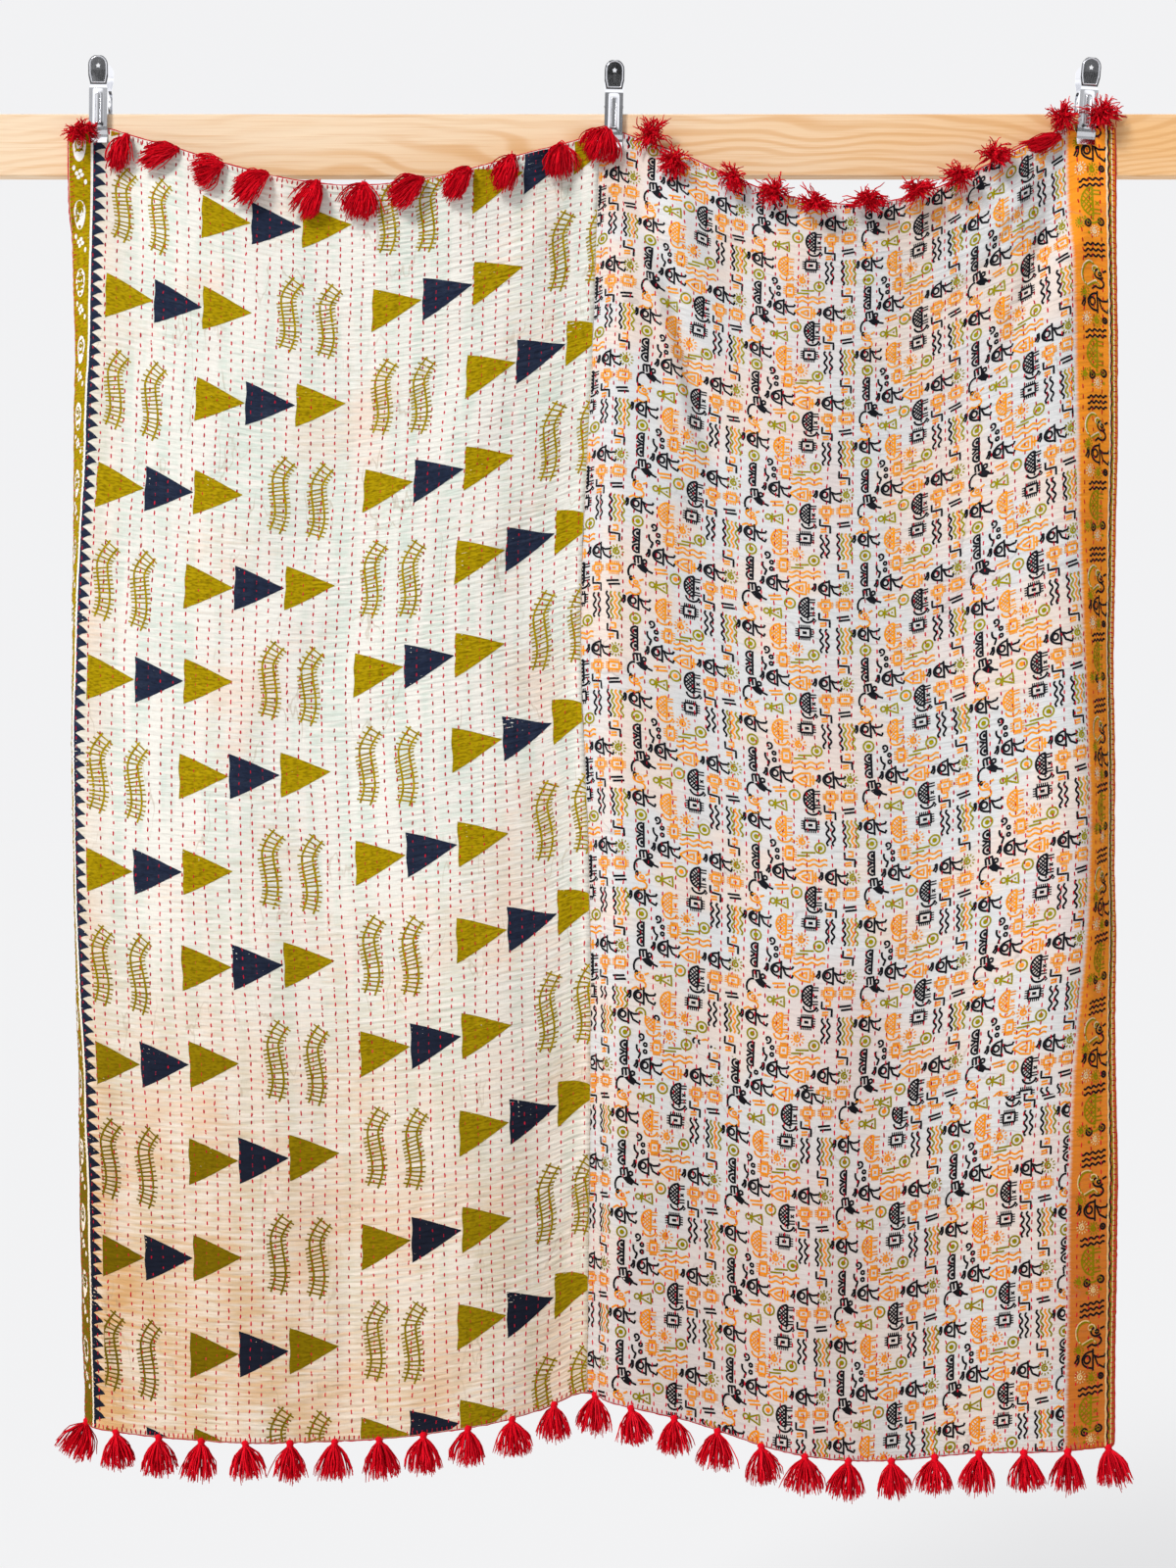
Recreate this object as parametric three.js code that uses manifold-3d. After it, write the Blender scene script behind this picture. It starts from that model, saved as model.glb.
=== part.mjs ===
// A hand-stitched kantha quilt with tasselled ends, hung by three sprung steel clips from a flat wooden rail.
// Millimetres. X runs along the rail, +Y away from the viewer, +Z up.
// The origin is the middle of the rail's back face.
import * as THREE from "three";
import { mergeVertices } from "three/addons/utils/BufferGeometryUtils.js";
import Module from "manifold-3d";

// Driving dimensions
const GAP = 0.3;
const RAIL = { length: 1800, height: 89, thickness: 20, cornerRadius: 2 };
const QUILT = { leftWidth: 780, rightWidth: 810, length: 1862, thickness: 3 };
const CLOTH_CLEARANCE = 2;
const RAIL_SHADOW = { below: 40, slope: 0.5 };
const TASSEL = { headRadius: 5.5, headTop: 3, headLength: 13, shoulder: 4.5, rootDepth: 7, locks: 5 };
const LOCK = { root: 2.4, tip: 5, hemLength: 56, topLength: 44, uneven: 4 };
const CLIP = { length: 124, halfWidth: 13, sheet: 1.2, pivotHeight: 64, earRadius: 6.5, pinRadius: 2 };

// Places that follow from the driving dimensions
const SEAM = QUILT.leftWidth;
const WIDTH = QUILT.leftWidth + QUILT.rightWidth;
const RAIL_FRONT = -RAIL.thickness;
const RAIL_MIDDLE = -RAIL.thickness / 2;
const HALF_CLOTH = QUILT.thickness / 2;
const PINNED_DEPTH = RAIL_FRONT - GAP - HALF_CLOTH;
const FREE_DEPTH = RAIL_FRONT - CLOTH_CLEARANCE - HALF_CLOTH;
const RAIL_BOTTOM = -RAIL.height / 2;

// Where the side edges and the middle seam hang, at each drop down the cloth: X of each, and the seam's depth
const OUTLINE = [
  { drop: 0, left: -742, seam: 17, right: 752, seamDepth: -26 },
  { drop: 350, left: -738, seam: 6, right: 756, seamDepth: -28 },
  { drop: 740, left: -744, seam: -10, right: 754, seamDepth: -24 },
  { drop: 1080, left: -743, seam: 1, right: 757, seamDepth: -14 },
  { drop: 1360, left: -737, seam: 4, right: 749, seamDepth: -6 },
  { drop: QUILT.length, left: -729, seam: -1, right: 744, seamDepth: 6 },
];

// Grips of the three clips on the top edge: place across the cloth, the edge's height, the clip's lip and lean
const GRIPS = [
  { name: "left", across: 46, height: 24.5, lip: 0.7, lean: 0.5 },
  { name: "middle", across: 801, height: 19, lip: -6.3, lean: 1.3 },
  { name: "right", across: 1543, height: 33, lip: -2.1, lean: 3.9 },
];

// How far the top edge sags and swells forward between neighbouring grips, and past the outer grips
const SWAGS = [
  { from: 0, to: 1, sag: 93, swell: 30, sharpness: 1.25 },
  { from: 1, to: 2, sag: 126, swell: 36, sharpness: 1.32 },
];
const CORNER_DROOP = { left: 4, right: 8 };
const SWELL_REACH = 230;

// Height of the hem across the cloth
const HEM = [
  { across: 0, height: -1834 },
  { across: 160, height: -1846 },
  { across: 420, height: -1848 },
  { across: 620, height: -1826 },
  { across: 710, height: -1811 },
  { across: SEAM, height: -1790 },
  { across: 930, height: -1816 },
  { across: 1070, height: -1855 },
  { across: 1240, height: -1874 },
  { across: 1420, height: -1857 },
  { across: WIDTH, height: -1851 },
];

// Upright folds: each turns the cloth by an angle in degrees over a soft width, positive away from the viewer
const FOLD_LEVELS = { top: 0, upper: 420, middle: 1000, hem: 1480 };
const FOLDS = [
  { name: "left edge curl", across: 14, width: 30, top: -20, upper: -57, middle: -87, hem: -62 },
  { name: "left rise", across: 150, width: 110, top: -5, upper: -7, middle: -8, hem: -9 },
  { name: "left dent", across: 350, width: 60, top: 3, upper: 4, middle: 5, hem: 6 },
  { name: "left swell", across: 470, width: 60, top: -2, upper: -3, middle: -5, hem: -5 },
  { name: "valley left", across: 690, width: 85, top: 6, upper: 11, middle: 13, hem: 20 },
  { name: "valley right", across: 806, width: 27, top: -22, upper: -42, middle: -45, hem: -60 },
  { name: "drag fall", across: 930, width: 45, top: 6, upper: 10, middle: 4, hem: 3 },
  { name: "right rise", across: 1060, width: 60, top: -4, upper: -6, middle: -6, hem: -12 },
  { name: "right dent", across: 1210, width: 80, top: 4, upper: 6, middle: 6, hem: 6 },
  { name: "right swell", across: 1400, width: 90, top: 0, upper: -9, middle: -13, hem: -12 },
  { name: "right edge curl", across: 1548, width: 50, top: 12, upper: 34, middle: 62, hem: 16 },
];

// Drag folds that fan out from the grips: a line on the cloth, its soft width and its rise towards the viewer
const DRAGS = [
  { fromAcross: 46, fromDrop: 25, toAcross: 140, toDrop: 230, width: 24, rise: -8 },
  { fromAcross: 60, fromDrop: 20, toAcross: 300, toDrop: 120, width: 30, rise: 6 },
  { fromAcross: 790, fromDrop: 20, toAcross: 640, toDrop: 200, width: 30, rise: 7 },
  { fromAcross: 815, fromDrop: 25, toAcross: 905, toDrop: 380, width: 24, rise: -12 },
  { fromAcross: 820, fromDrop: 15, toAcross: 1000, toDrop: 230, width: 28, rise: 10 },
  { fromAcross: 1530, fromDrop: 15, toAcross: 1330, toDrop: 150, width: 32, rise: 9 },
  { fromAcross: 1525, fromDrop: 30, toAcross: 1390, toDrop: 340, width: 32, rise: -11 },
  { fromAcross: 1540, fromDrop: 50, toAcross: 1470, toDrop: 430, width: 28, rise: 8 },
];

// The flat patch that a clip presses on the rail, and how far around it the cloth takes to swing free
const GRIP_PATCH = { across: 38, drop: 60, swingFree: 3.2 };
const SAG_FADE = 3;

// Grid lines of the two panels: spans of the cloth and the number of steps in each
const LEFT_SPANS = [
  { to: 48, steps: 6 },
  { to: 140, steps: 4 },
  { to: 620, steps: 14 },
  { to: SEAM, steps: 8 },
];
const RIGHT_SPANS = [
  { to: 860, steps: 7 },
  { to: 980, steps: 6 },
  { to: 1400, steps: 12 },
  { to: 1480, steps: 4 },
  { to: WIDTH, steps: 9 },
];
const DROP_SPANS = [
  { to: 60, steps: 4 },
  { to: 300, steps: 7 },
  { to: 1000, steps: 7 },
  { to: 1700, steps: 6 },
  { to: QUILT.length, steps: 3 },
];

// Top tassels: place across the cloth, the skirt's aim (degrees from down, positive right), lift and spread
const TOP_TASSELS = [
  { across: 8, aim: -45, lift: 35, spread: 30 },
  { across: 80, aim: 5, lift: 22, spread: 22 },
  { across: 150, aim: -40, lift: 20, spread: 22 },
  { across: 223, aim: -60, lift: 25, spread: 24 },
  { across: 291, aim: -50, lift: 18, spread: 22 },
  { across: 353, aim: -20, lift: 18, spread: 28 },
  { across: 429, aim: -10, lift: 18, spread: 32 },
  { across: 519, aim: -35, lift: 18, spread: 30 },
  { across: 586, aim: -40, lift: 20, spread: 26 },
  { across: 647, aim: -25, lift: 20, spread: 28 },
  { across: 716, aim: -30, lift: 20, spread: 26 },
  { across: 774, aim: -25, lift: 24, spread: 22 },
  { across: 837, aim: 55, lift: 28, spread: 26 },
  { across: 900, aim: 20, lift: 30, spread: 34 },
  { across: 974, aim: 15, lift: 26, spread: 34 },
  { across: 1047, aim: 0, lift: 28, spread: 36 },
  { across: 1116, aim: 0, lift: 28, spread: 34 },
  { across: 1193, aim: -10, lift: 28, spread: 36 },
  { across: 1272, aim: 5, lift: 28, spread: 34 },
  { across: 1340, aim: -15, lift: 28, spread: 32 },
  { across: 1404, aim: -30, lift: 30, spread: 30 },
  { across: 1468, aim: -60, lift: 28, spread: 24 },
  { across: 1517, aim: -120, lift: 30, spread: 24 },
  { across: 1577, aim: 110, lift: 30, spread: 28 },
];

// Hem tassels: count, inset from the corners, and how far a skirt opens and swings sideways
const HEM_TASSELS = { count: 25, inset: 8, opening: 23, swing: 7 };

// Bends of a clip's leaf, from the handle's end down: height above the lip, distance from the rail's middle
const LEAF_BENDS = [
  { height: 124, out: 20 },
  { height: 104, out: 18.5 },
  { height: 84, out: 15.5 },
  { height: 79, out: 16.4 },
  { height: 24, out: 16.4 },
  { height: 19, out: 15.6 },
];
const JAW = { top: 13, bottom: 9, lipFlare: 4.5 };
const HANDLE = { radius: 14, straight: 96, neckHeight: 84, neckHalfWidth: 11.5, shoulderHeight: 78 };
const HANDLE_HOLE = { height: 110, radius: 3, lobes: 5, lobeDepth: 0.25 };
const FLANGE = { bottom: 40, earBottom: 53, earTop: 75, top: 78, inner: 11, outer: 16 };
const EAR_OFFSETS = { front: 12.4, back: 10.6 };
const SPRING = { radius: 4.6, length: 19.4 };
const PIN_LENGTH = 27.5;
const ROUND_SEGMENTS = 5;

const MATERIALS = {
  creamCloth: new THREE.MeshStandardMaterial({ color: 0xe9e2d2, roughness: 0.9, metalness: 0 }),
  greyCloth: new THREE.MeshStandardMaterial({ color: 0xc9c8c6, roughness: 0.9, metalness: 0 }),
  crimsonYarn: new THREE.MeshStandardMaterial({ color: 0xb01226, roughness: 0.8, metalness: 0 }),
  paleWood: new THREE.MeshStandardMaterial({ color: 0xc9a77c, roughness: 0.6, metalness: 0 }),
  polishedSteel: new THREE.MeshStandardMaterial({ color: 0xc4c6c8, roughness: 0.2, metalness: 1 }),
};

const wasm = await Module();
wasm.setup();

const clamp01 = (value) => Math.min(1, Math.max(0, value));
const smoothstep = (value) => clamp01(value) ** 2 * (3 - 2 * clamp01(value));
const mix = (a, b, share) => a + (b - a) * share;
const radians = (degrees) => (degrees * Math.PI) / 180;

// A smooth curve through a table's rows, each row's slope taken from its neighbours; past the last row it is level
function curveThrough(rows, by, column, at) {
  const last = rows.length - 1;
  const found = rows.findIndex((row) => row[by] >= at);
  const next = found < 0 ? last : Math.max(1, found);
  const slopeAt = (i) => {
    const before = rows[Math.max(0, i - 1)];
    const after = rows[Math.min(last, i + 1)];
    return (after[column] - before[column]) / (after[by] - before[by]);
  };
  const start = rows[next - 1];
  const end = rows[next];
  const span = end[by] - start[by];
  const t = clamp01((at - start[by]) / span);
  const bulgeStart = slopeAt(next - 1) * span * t * (1 - t) ** 2;
  const bulgeEnd = slopeAt(next) * span * t * t * (t - 1);
  return mix(start[column], end[column], smoothstep(t)) + bulgeStart + bulgeEnd;
}

// A fold's angle at a drop, eased between the four levels of its row and even below the last
function foldAngle(fold, drop) {
  const rows = Object.entries(FOLD_LEVELS).map(([level, at]) => ({ at, angle: fold[level] }));
  return radians(curveThrough(rows, "at", "angle", drop));
}

// Height of the top edge: a swag between each two grips, and a small droop at the corners
function topHeight(across) {
  const first = GRIPS[0];
  const last = GRIPS[GRIPS.length - 1];
  if (across <= first.across) {
    return first.height - CORNER_DROOP.left * (1 - across / first.across) ** 2;
  }
  if (across >= last.across) {
    return last.height - CORNER_DROOP.right * ((across - last.across) / (WIDTH - last.across)) ** 2;
  }
  const swag = SWAGS.find((each) => across <= GRIPS[each.to].across);
  const t = swagShare(swag, across);
  return mix(GRIPS[swag.from].height, GRIPS[swag.to].height, t) - swag.sag * swagProfile(swag, t);
}

function swagShare(swag, across) {
  const from = GRIPS[swag.from].across;
  return clamp01((across - from) / (GRIPS[swag.to].across - from));
}

function swagProfile(swag, t) {
  return Math.sin(Math.PI * t) ** swag.sharpness;
}

// How far the swags swell towards the viewer, fading down the cloth
function swellForward(across, drop) {
  const fade = Math.exp(-drop / SWELL_REACH);
  return SWAGS.reduce((sum, swag) => sum + swag.swell * swagProfile(swag, swagShare(swag, across)) * fade, 0);
}

// How far the drag folds rise towards the viewer at a point of the cloth
function dragRise(across, drop) {
  return DRAGS.reduce((sum, drag) => {
    const runAcross = drag.toAcross - drag.fromAcross;
    const runDrop = drag.toDrop - drag.fromDrop;
    const reach = runAcross ** 2 + runDrop ** 2;
    const along = (across - drag.fromAcross) * runAcross + (drop - drag.fromDrop) * runDrop;
    const t = clamp01(along / reach);
    const offAcross = across - drag.fromAcross - t * runAcross;
    const offDrop = drop - drag.fromDrop - t * runDrop;
    const off = (offAcross ** 2 + offDrop ** 2) / drag.width ** 2;
    return sum + drag.rise * Math.sin(Math.PI * Math.sqrt(t)) * Math.exp(-off);
  }, 0);
}

// How firmly a clip holds the cloth flat at a point: 1 on its patch, 0 where the cloth hangs free
function gripHold(across, drop) {
  const holds = GRIPS.map((grip) => {
    const offAcross = Math.abs(across - grip.across) / GRIP_PATCH.across;
    const offDrop = drop / GRIP_PATCH.drop;
    const off = (offAcross ** 4 + offDrop ** 4) ** 0.25;
    return 1 - smoothstep((off - 1) / (GRIP_PATCH.swingFree - 1));
  });
  return Math.max(...holds);
}

// The cloth's middle surface along one level: a running sum of its turns, fitted between edges and seam
function hungLevel(drop) {
  const step = 2;
  const count = Math.round(WIDTH / step);
  const angles = FOLDS.map((fold) => foldAngle(fold, drop));
  const turnAt = (across) =>
    FOLDS.reduce((sum, { across: centre, width }, i) => {
      const off = (across - centre) / width;
      return sum + angles[i] * Math.exp(-(off ** 2));
    }, 0);
  const runs = [0];
  const depths = [0];
  for (let i = 0; i < count; i += 1) {
    const turn = turnAt((i + 0.5) * step);
    runs.push(runs[i] + Math.cos(turn) * step);
    depths.push(depths[i] + Math.sin(turn) * step);
  }
  const sampled = (values, across) => {
    const place = Math.min(count - 1e-6, Math.max(0, across / step));
    const i = Math.floor(place);
    return mix(values[i], values[i + 1], place - i);
  };
  const level = (column) => curveThrough(OUTLINE, "drop", column, drop);
  const seamRun = sampled(runs, SEAM);
  const seamDepth = sampled(depths, SEAM);
  const leftScale = (level("seam") - level("left")) / (seamRun - Math.min(...runs));
  const rightScale = (level("right") - level("seam")) / (runs[count] - seamRun);
  const share = drop / QUILT.length;
  const sagShare = (1 - share) ** SAG_FADE;
  const straight = mix(GRIPS[0].height, GRIPS[0].height - QUILT.length, share);

  return (across) => {
    const run = sampled(runs, across) - seamRun;
    const x = level("seam") + run * (run < 0 ? leftScale : rightScale);
    const topDrop = topHeight(across) - GRIPS[0].height;
    const hemDrop = curveThrough(HEM, "across", "height", across) - (GRIPS[0].height - QUILT.length);
    const z = straight + topDrop * sagShare + hemDrop * (1 - sagShare);
    const folded = level("seamDepth") + sampled(depths, across) - seamDepth;
    const free = folded - swellForward(across, drop) - dragRise(across, drop);
    const farthest = FREE_DEPTH + Math.max(0, RAIL_BOTTOM - RAIL_SHADOW.below - z) * RAIL_SHADOW.slope;
    return new THREE.Vector3(x, mix(Math.min(free, farthest), PINNED_DEPTH, gripHold(across, drop)), z);
  };
}

// The cloth's middle points and viewer-side normals on a grid of places across and drops
function hungGrid(acrossLines, dropLines) {
  const nudge = 1;
  return dropLines.map((drop) => {
    const here = hungLevel(drop);
    const above = hungLevel(Math.max(0, drop - nudge));
    const below = hungLevel(Math.min(QUILT.length, drop + nudge));
    return acrossLines.map((across) => {
      const point = here(across);
      const alongCloth = here(Math.min(WIDTH, across + nudge)).sub(here(Math.max(0, across - nudge)));
      const downCloth = below(across).sub(above(across));
      const normal = downCloth.cross(alongCloth).normalize();
      return { point, normal };
    });
  });
}

// Grid lines from a table of spans
function linesFrom(start, spans) {
  const lines = [start];
  spans.forEach(({ to, steps }) => {
    const from = lines[lines.length - 1];
    for (let i = 1; i <= steps; i += 1) {
      lines.push(mix(from, to, i / steps));
    }
  });
  return lines;
}

// A closed sheet of even thickness on a grid of points and normals
function sheetGeometry(grid, thickness) {
  const rows = grid.length;
  const columns = grid[0].length;
  const positions = [];
  [0.5, -0.5].forEach((side) => {
    grid.flat().forEach(({ point, normal }) => {
      const skin = point.clone().addScaledVector(normal, side * thickness);
      positions.push(skin.x, skin.y, skin.z);
    });
  });
  const front = (row, column) => row * columns + column;
  const back = (row, column) => rows * columns + front(row, column);
  const index = [];
  const quad = (a, b, c, d) => index.push(a, b, c, a, c, d);
  for (let row = 0; row < rows - 1; row += 1) {
    for (let column = 0; column < columns - 1; column += 1) {
      const under = row + 1;
      const next = column + 1;
      quad(front(row, column), front(under, column), front(under, next), front(row, next));
      quad(back(row, column), back(row, next), back(under, next), back(under, column));
    }
    const under = row + 1;
    const last = columns - 1;
    quad(front(row, 0), back(row, 0), back(under, 0), front(under, 0));
    quad(front(row, last), front(under, last), back(under, last), back(row, last));
  }
  for (let column = 0; column < columns - 1; column += 1) {
    const next = column + 1;
    const last = rows - 1;
    quad(front(0, column), front(0, next), back(0, next), back(0, column));
    quad(front(last, column), back(last, column), back(last, next), front(last, next));
  }
  const geometry = new THREE.BufferGeometry();
  geometry.setAttribute("position", new THREE.Float32BufferAttribute(positions, 3));
  geometry.setIndex(index);
  return geometry;
}

// Solids and meshes
function solidOf(geometry) {
  const bare = geometry.clone();
  bare.deleteAttribute("normal");
  bare.deleteAttribute("uv");
  const merged = mergeVertices(bare, 1e-4);
  return new wasm.Manifold(
    new wasm.Mesh({
      numProp: 3,
      vertProperties: new Float32Array(merged.attributes.position.array),
      triVerts: new Uint32Array(merged.index.array),
    })
  );
}

function geometryOf(solid) {
  const mesh = solid.getMesh();
  const geometry = new THREE.BufferGeometry();
  geometry.setAttribute("position", new THREE.Float32BufferAttribute(mesh.vertProperties, 3));
  geometry.setIndex(Array.from(mesh.triVerts));
  return geometry;
}

function namedMesh(name, geometry, material) {
  const mesh = new THREE.Mesh(geometry, material);
  mesh.name = name;
  return mesh;
}

// A flat shape given as distance from the rail's middle and height, carried along X about the middle
function acrossRail(shape, length, curveSegments) {
  const geometry = new THREE.ExtrudeGeometry(shape, { depth: length, bevelEnabled: false, curveSegments });
  geometry.translate(0, 0, -length / 2);
  const axes = [new THREE.Vector3(0, 1, 0), new THREE.Vector3(0, 0, 1), new THREE.Vector3(1, 0, 0)];
  return geometry.applyMatrix4(new THREE.Matrix4().makeBasis(...axes));
}

// A flat shape seen from the front, carried along Y about the middle
function throughRail(shape, length, curveSegments) {
  const geometry = new THREE.ExtrudeGeometry(shape, { depth: length, bevelEnabled: false, curveSegments });
  geometry.translate(0, 0, -length / 2);
  const axes = [new THREE.Vector3(1, 0, 0), new THREE.Vector3(0, 0, 1), new THREE.Vector3(0, -1, 0)];
  return geometry.applyMatrix4(new THREE.Matrix4().makeBasis(...axes));
}

// Rail: a flat board with softened long edges
function makeRail() {
  const { height, thickness, cornerRadius: r } = RAIL;
  const shape = new THREE.Shape();
  shape.moveTo(-thickness + r, -height / 2);
  shape.lineTo(-r, -height / 2);
  shape.absarc(-r, -height / 2 + r, r, -Math.PI / 2, 0);
  shape.absarc(-r, height / 2 - r, r, 0, Math.PI / 2);
  shape.absarc(-thickness + r, height / 2 - r, r, Math.PI / 2, Math.PI);
  shape.absarc(-thickness + r, -height / 2 + r, r, Math.PI, Math.PI * 1.5);
  return namedMesh("rail", acrossRail(shape, RAIL.length, 3), MATERIALS.paleWood);
}

// One panel of the quilt between two places across it, half a gap short of the seam
function makePanel(name, start, spans, material) {
  const lines = linesFrom(start, spans);
  const awayFromSeam = start < SEAM ? -GAP / 2 : GAP / 2;
  const parted = lines.map((across) => (across === SEAM ? across + awayFromSeam : across));
  return namedMesh(name, sheetGeometry(hungGrid(parted, linesFrom(0, DROP_SPANS)), QUILT.thickness), material);
}

// A leaf's edge-on outline: its bends with half the sheet's thickness to each side
function leafSection(jawInner) {
  const half = CLIP.sheet / 2;
  const jaw = jawInner + half;
  const bends = [
    ...LEAF_BENDS,
    { height: JAW.top, out: jaw },
    { height: JAW.bottom, out: jaw },
    { height: 0, out: jaw + JAW.lipFlare },
  ].map(({ height, out }) => new THREE.Vector2(out, height));
  const sideOf = (i) => {
    const before = bends[i].clone().sub(bends[Math.max(0, i - 1)]).normalize();
    const after = bends[Math.min(bends.length - 1, i + 1)].clone().sub(bends[i]).normalize();
    const along = before.add(after).normalize();
    return new THREE.Vector2(-along.y, along.x).multiplyScalar(half);
  };
  const outer = bends.map((bend, i) => bend.clone().add(sideOf(i)));
  const inner = bends.map((bend, i) => bend.clone().sub(sideOf(i)));
  return new THREE.Shape([...outer, ...inner.reverse()]);
}

// A leaf seen from the front: a round handle, a narrow neck and a straight body
function leafFace() {
  const { halfWidth, length } = CLIP;
  const shape = new THREE.Shape();
  shape.moveTo(-halfWidth, -1);
  shape.lineTo(halfWidth, -1);
  shape.lineTo(halfWidth, HANDLE.shoulderHeight);
  shape.lineTo(HANDLE.neckHalfWidth, HANDLE.neckHeight);
  shape.lineTo(HANDLE.radius, HANDLE.straight);
  shape.absarc(0, length - HANDLE.radius + 1, HANDLE.radius, 0, Math.PI);
  shape.lineTo(-HANDLE.radius, HANDLE.straight);
  shape.lineTo(-HANDLE.neckHalfWidth, HANDLE.neckHeight);
  shape.lineTo(-halfWidth, HANDLE.shoulderHeight);
  return shape;
}

// A five-lobed hole in the handle
function handleHole() {
  const { height, radius, lobes, lobeDepth } = HANDLE_HOLE;
  const points = Array.from({ length: lobes * 2 }, (_, i) => {
    const turn = (i / lobes) * Math.PI;
    const reach = radius * (1 + lobeDepth * Math.cos(lobes * turn));
    return new THREE.Vector2(reach * Math.sin(turn), height + reach * Math.cos(turn));
  });
  return new THREE.Shape(points);
}

// A side flange that widens into the ear around the pin
function flangeFace(pinHole) {
  const { pivotHeight, earRadius } = CLIP;
  const shape = new THREE.Shape();
  shape.moveTo(FLANGE.outer, FLANGE.bottom);
  shape.lineTo(FLANGE.outer, FLANGE.top);
  shape.lineTo(FLANGE.inner, FLANGE.earTop);
  shape.absarc(0, pivotHeight, earRadius, Math.PI / 2, Math.PI * 1.5);
  shape.lineTo(FLANGE.inner, FLANGE.earBottom);
  shape.lineTo(FLANGE.inner, FLANGE.bottom);
  if (pinHole) {
    shape.holes.push(new THREE.Path().absarc(0, pivotHeight, CLIP.pinRadius + GAP, 0, Math.PI * 2));
  }
  return shape;
}

function pinCylinder(radius, length) {
  const geometry = new THREE.CylinderGeometry(radius, radius, length, ROUND_SEGMENTS * 2);
  geometry.rotateZ(Math.PI / 2);
  return solidOf(geometry.translate(0, 0, CLIP.pivotHeight));
}

// One leaf of a clip, facing +Y, with its lip at height 0 and the rail's middle at Y 0
function clipLeaf(jawInner, earOffset, carriesPin) {
  const deep = 80;
  let leaf = solidOf(acrossRail(leafSection(jawInner), CLIP.halfWidth * 3, 1));
  leaf = leaf.intersect(solidOf(throughRail(leafFace(), deep, ROUND_SEGMENTS)));
  leaf = leaf.subtract(solidOf(throughRail(handleHole(), deep, 1)));
  [-1, 1].forEach((side) => {
    const flange = acrossRail(flangeFace(!carriesPin), CLIP.sheet, ROUND_SEGMENTS);
    leaf = leaf.add(solidOf(flange.translate(side * earOffset, 0, 0)));
  });
  if (carriesPin) {
    leaf = leaf.add(pinCylinder(CLIP.pinRadius, PIN_LENGTH));
    leaf = leaf.add(pinCylinder(SPRING.radius, SPRING.length));
  }
  return geometryOf(leaf);
}

// A clip over the rail at its grip: the front leaf presses the cloth, the back leaf the rail
function makeClip(grip) {
  const half = RAIL.thickness / 2;
  const frontJaw = half + GAP + QUILT.thickness + GAP;
  const backJaw = half + GAP;
  const front = namedMesh(
    `clip_${grip.name}_front`,
    clipLeaf(frontJaw, EAR_OFFSETS.front, false).rotateZ(Math.PI),
    MATERIALS.polishedSteel
  );
  const back = namedMesh(
    `clip_${grip.name}_back`,
    clipLeaf(backJaw, EAR_OFFSETS.back, true),
    MATERIALS.polishedSteel
  );
  const clip = new THREE.Group();
  clip.position.set(hungLevel(0)(grip.across).x, RAIL_MIDDLE, grip.lip);
  clip.rotation.y = radians(grip.lean);
  clip.add(front, back);
  return clip;
}

// A tied head, hanging down from its top at the origin
function tasselHead() {
  const { headRadius, headTop, headLength, shoulder } = TASSEL;
  const profile = [
    new THREE.Vector2(0, -headLength),
    new THREE.Vector2(headRadius, -headLength),
    new THREE.Vector2(headRadius, -shoulder),
    new THREE.Vector2(headTop, 0),
    new THREE.Vector2(0, 0),
  ];
  const geometry = new THREE.LatheGeometry(profile, 6);
  return solidOf(geometry.rotateX(Math.PI / 2));
}

// A lock of yarn that widens from its root inside the head, tilted towards a bearing
function tasselLock(tilt, bearing, length) {
  const geometry = new THREE.CylinderGeometry(LOCK.root, LOCK.tip, length, 3, 1);
  geometry.rotateX(Math.PI / 2);
  geometry.translate(0, 0, -length / 2);
  geometry.rotateX(tilt);
  geometry.rotateZ(bearing);
  return solidOf(geometry.translate(0, 0, -TASSEL.rootDepth));
}

function tasselGeometry(locks) {
  return geometryOf(locks.reduce((whole, lock) => whole.add(lock), tasselHead()));
}

// A hem tassel: its skirt opens all round
function makeHemTassel(number, hem, across) {
  const opening = radians(HEM_TASSELS.opening);
  const locks = Array.from({ length: TASSEL.locks }, (_, i) => {
    const bearing = ((i + number * 0.37) / TASSEL.locks) * Math.PI * 2;
    const length = LOCK.hemLength + LOCK.uneven * Math.sin(number * 1.7 + i * 2.3);
    return tasselLock(opening, bearing, length);
  });
  const name = `tassel_hem_${String(number).padStart(2, "0")}`;
  const tassel = namedMesh(name, tasselGeometry(locks), MATERIALS.crimsonYarn);
  const reach = TASSEL.headTop + 1;
  const slope = Math.abs(hem(across + reach).z - hem(across - reach).z) / (2 * reach);
  const seat = hem(across);
  tassel.position.set(seat.x, seat.y, seat.z - GAP - slope * TASSEL.headTop);
  tassel.rotation.y = radians(HEM_TASSELS.swing * Math.sin(number * 2.1));
  return tassel;
}

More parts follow.
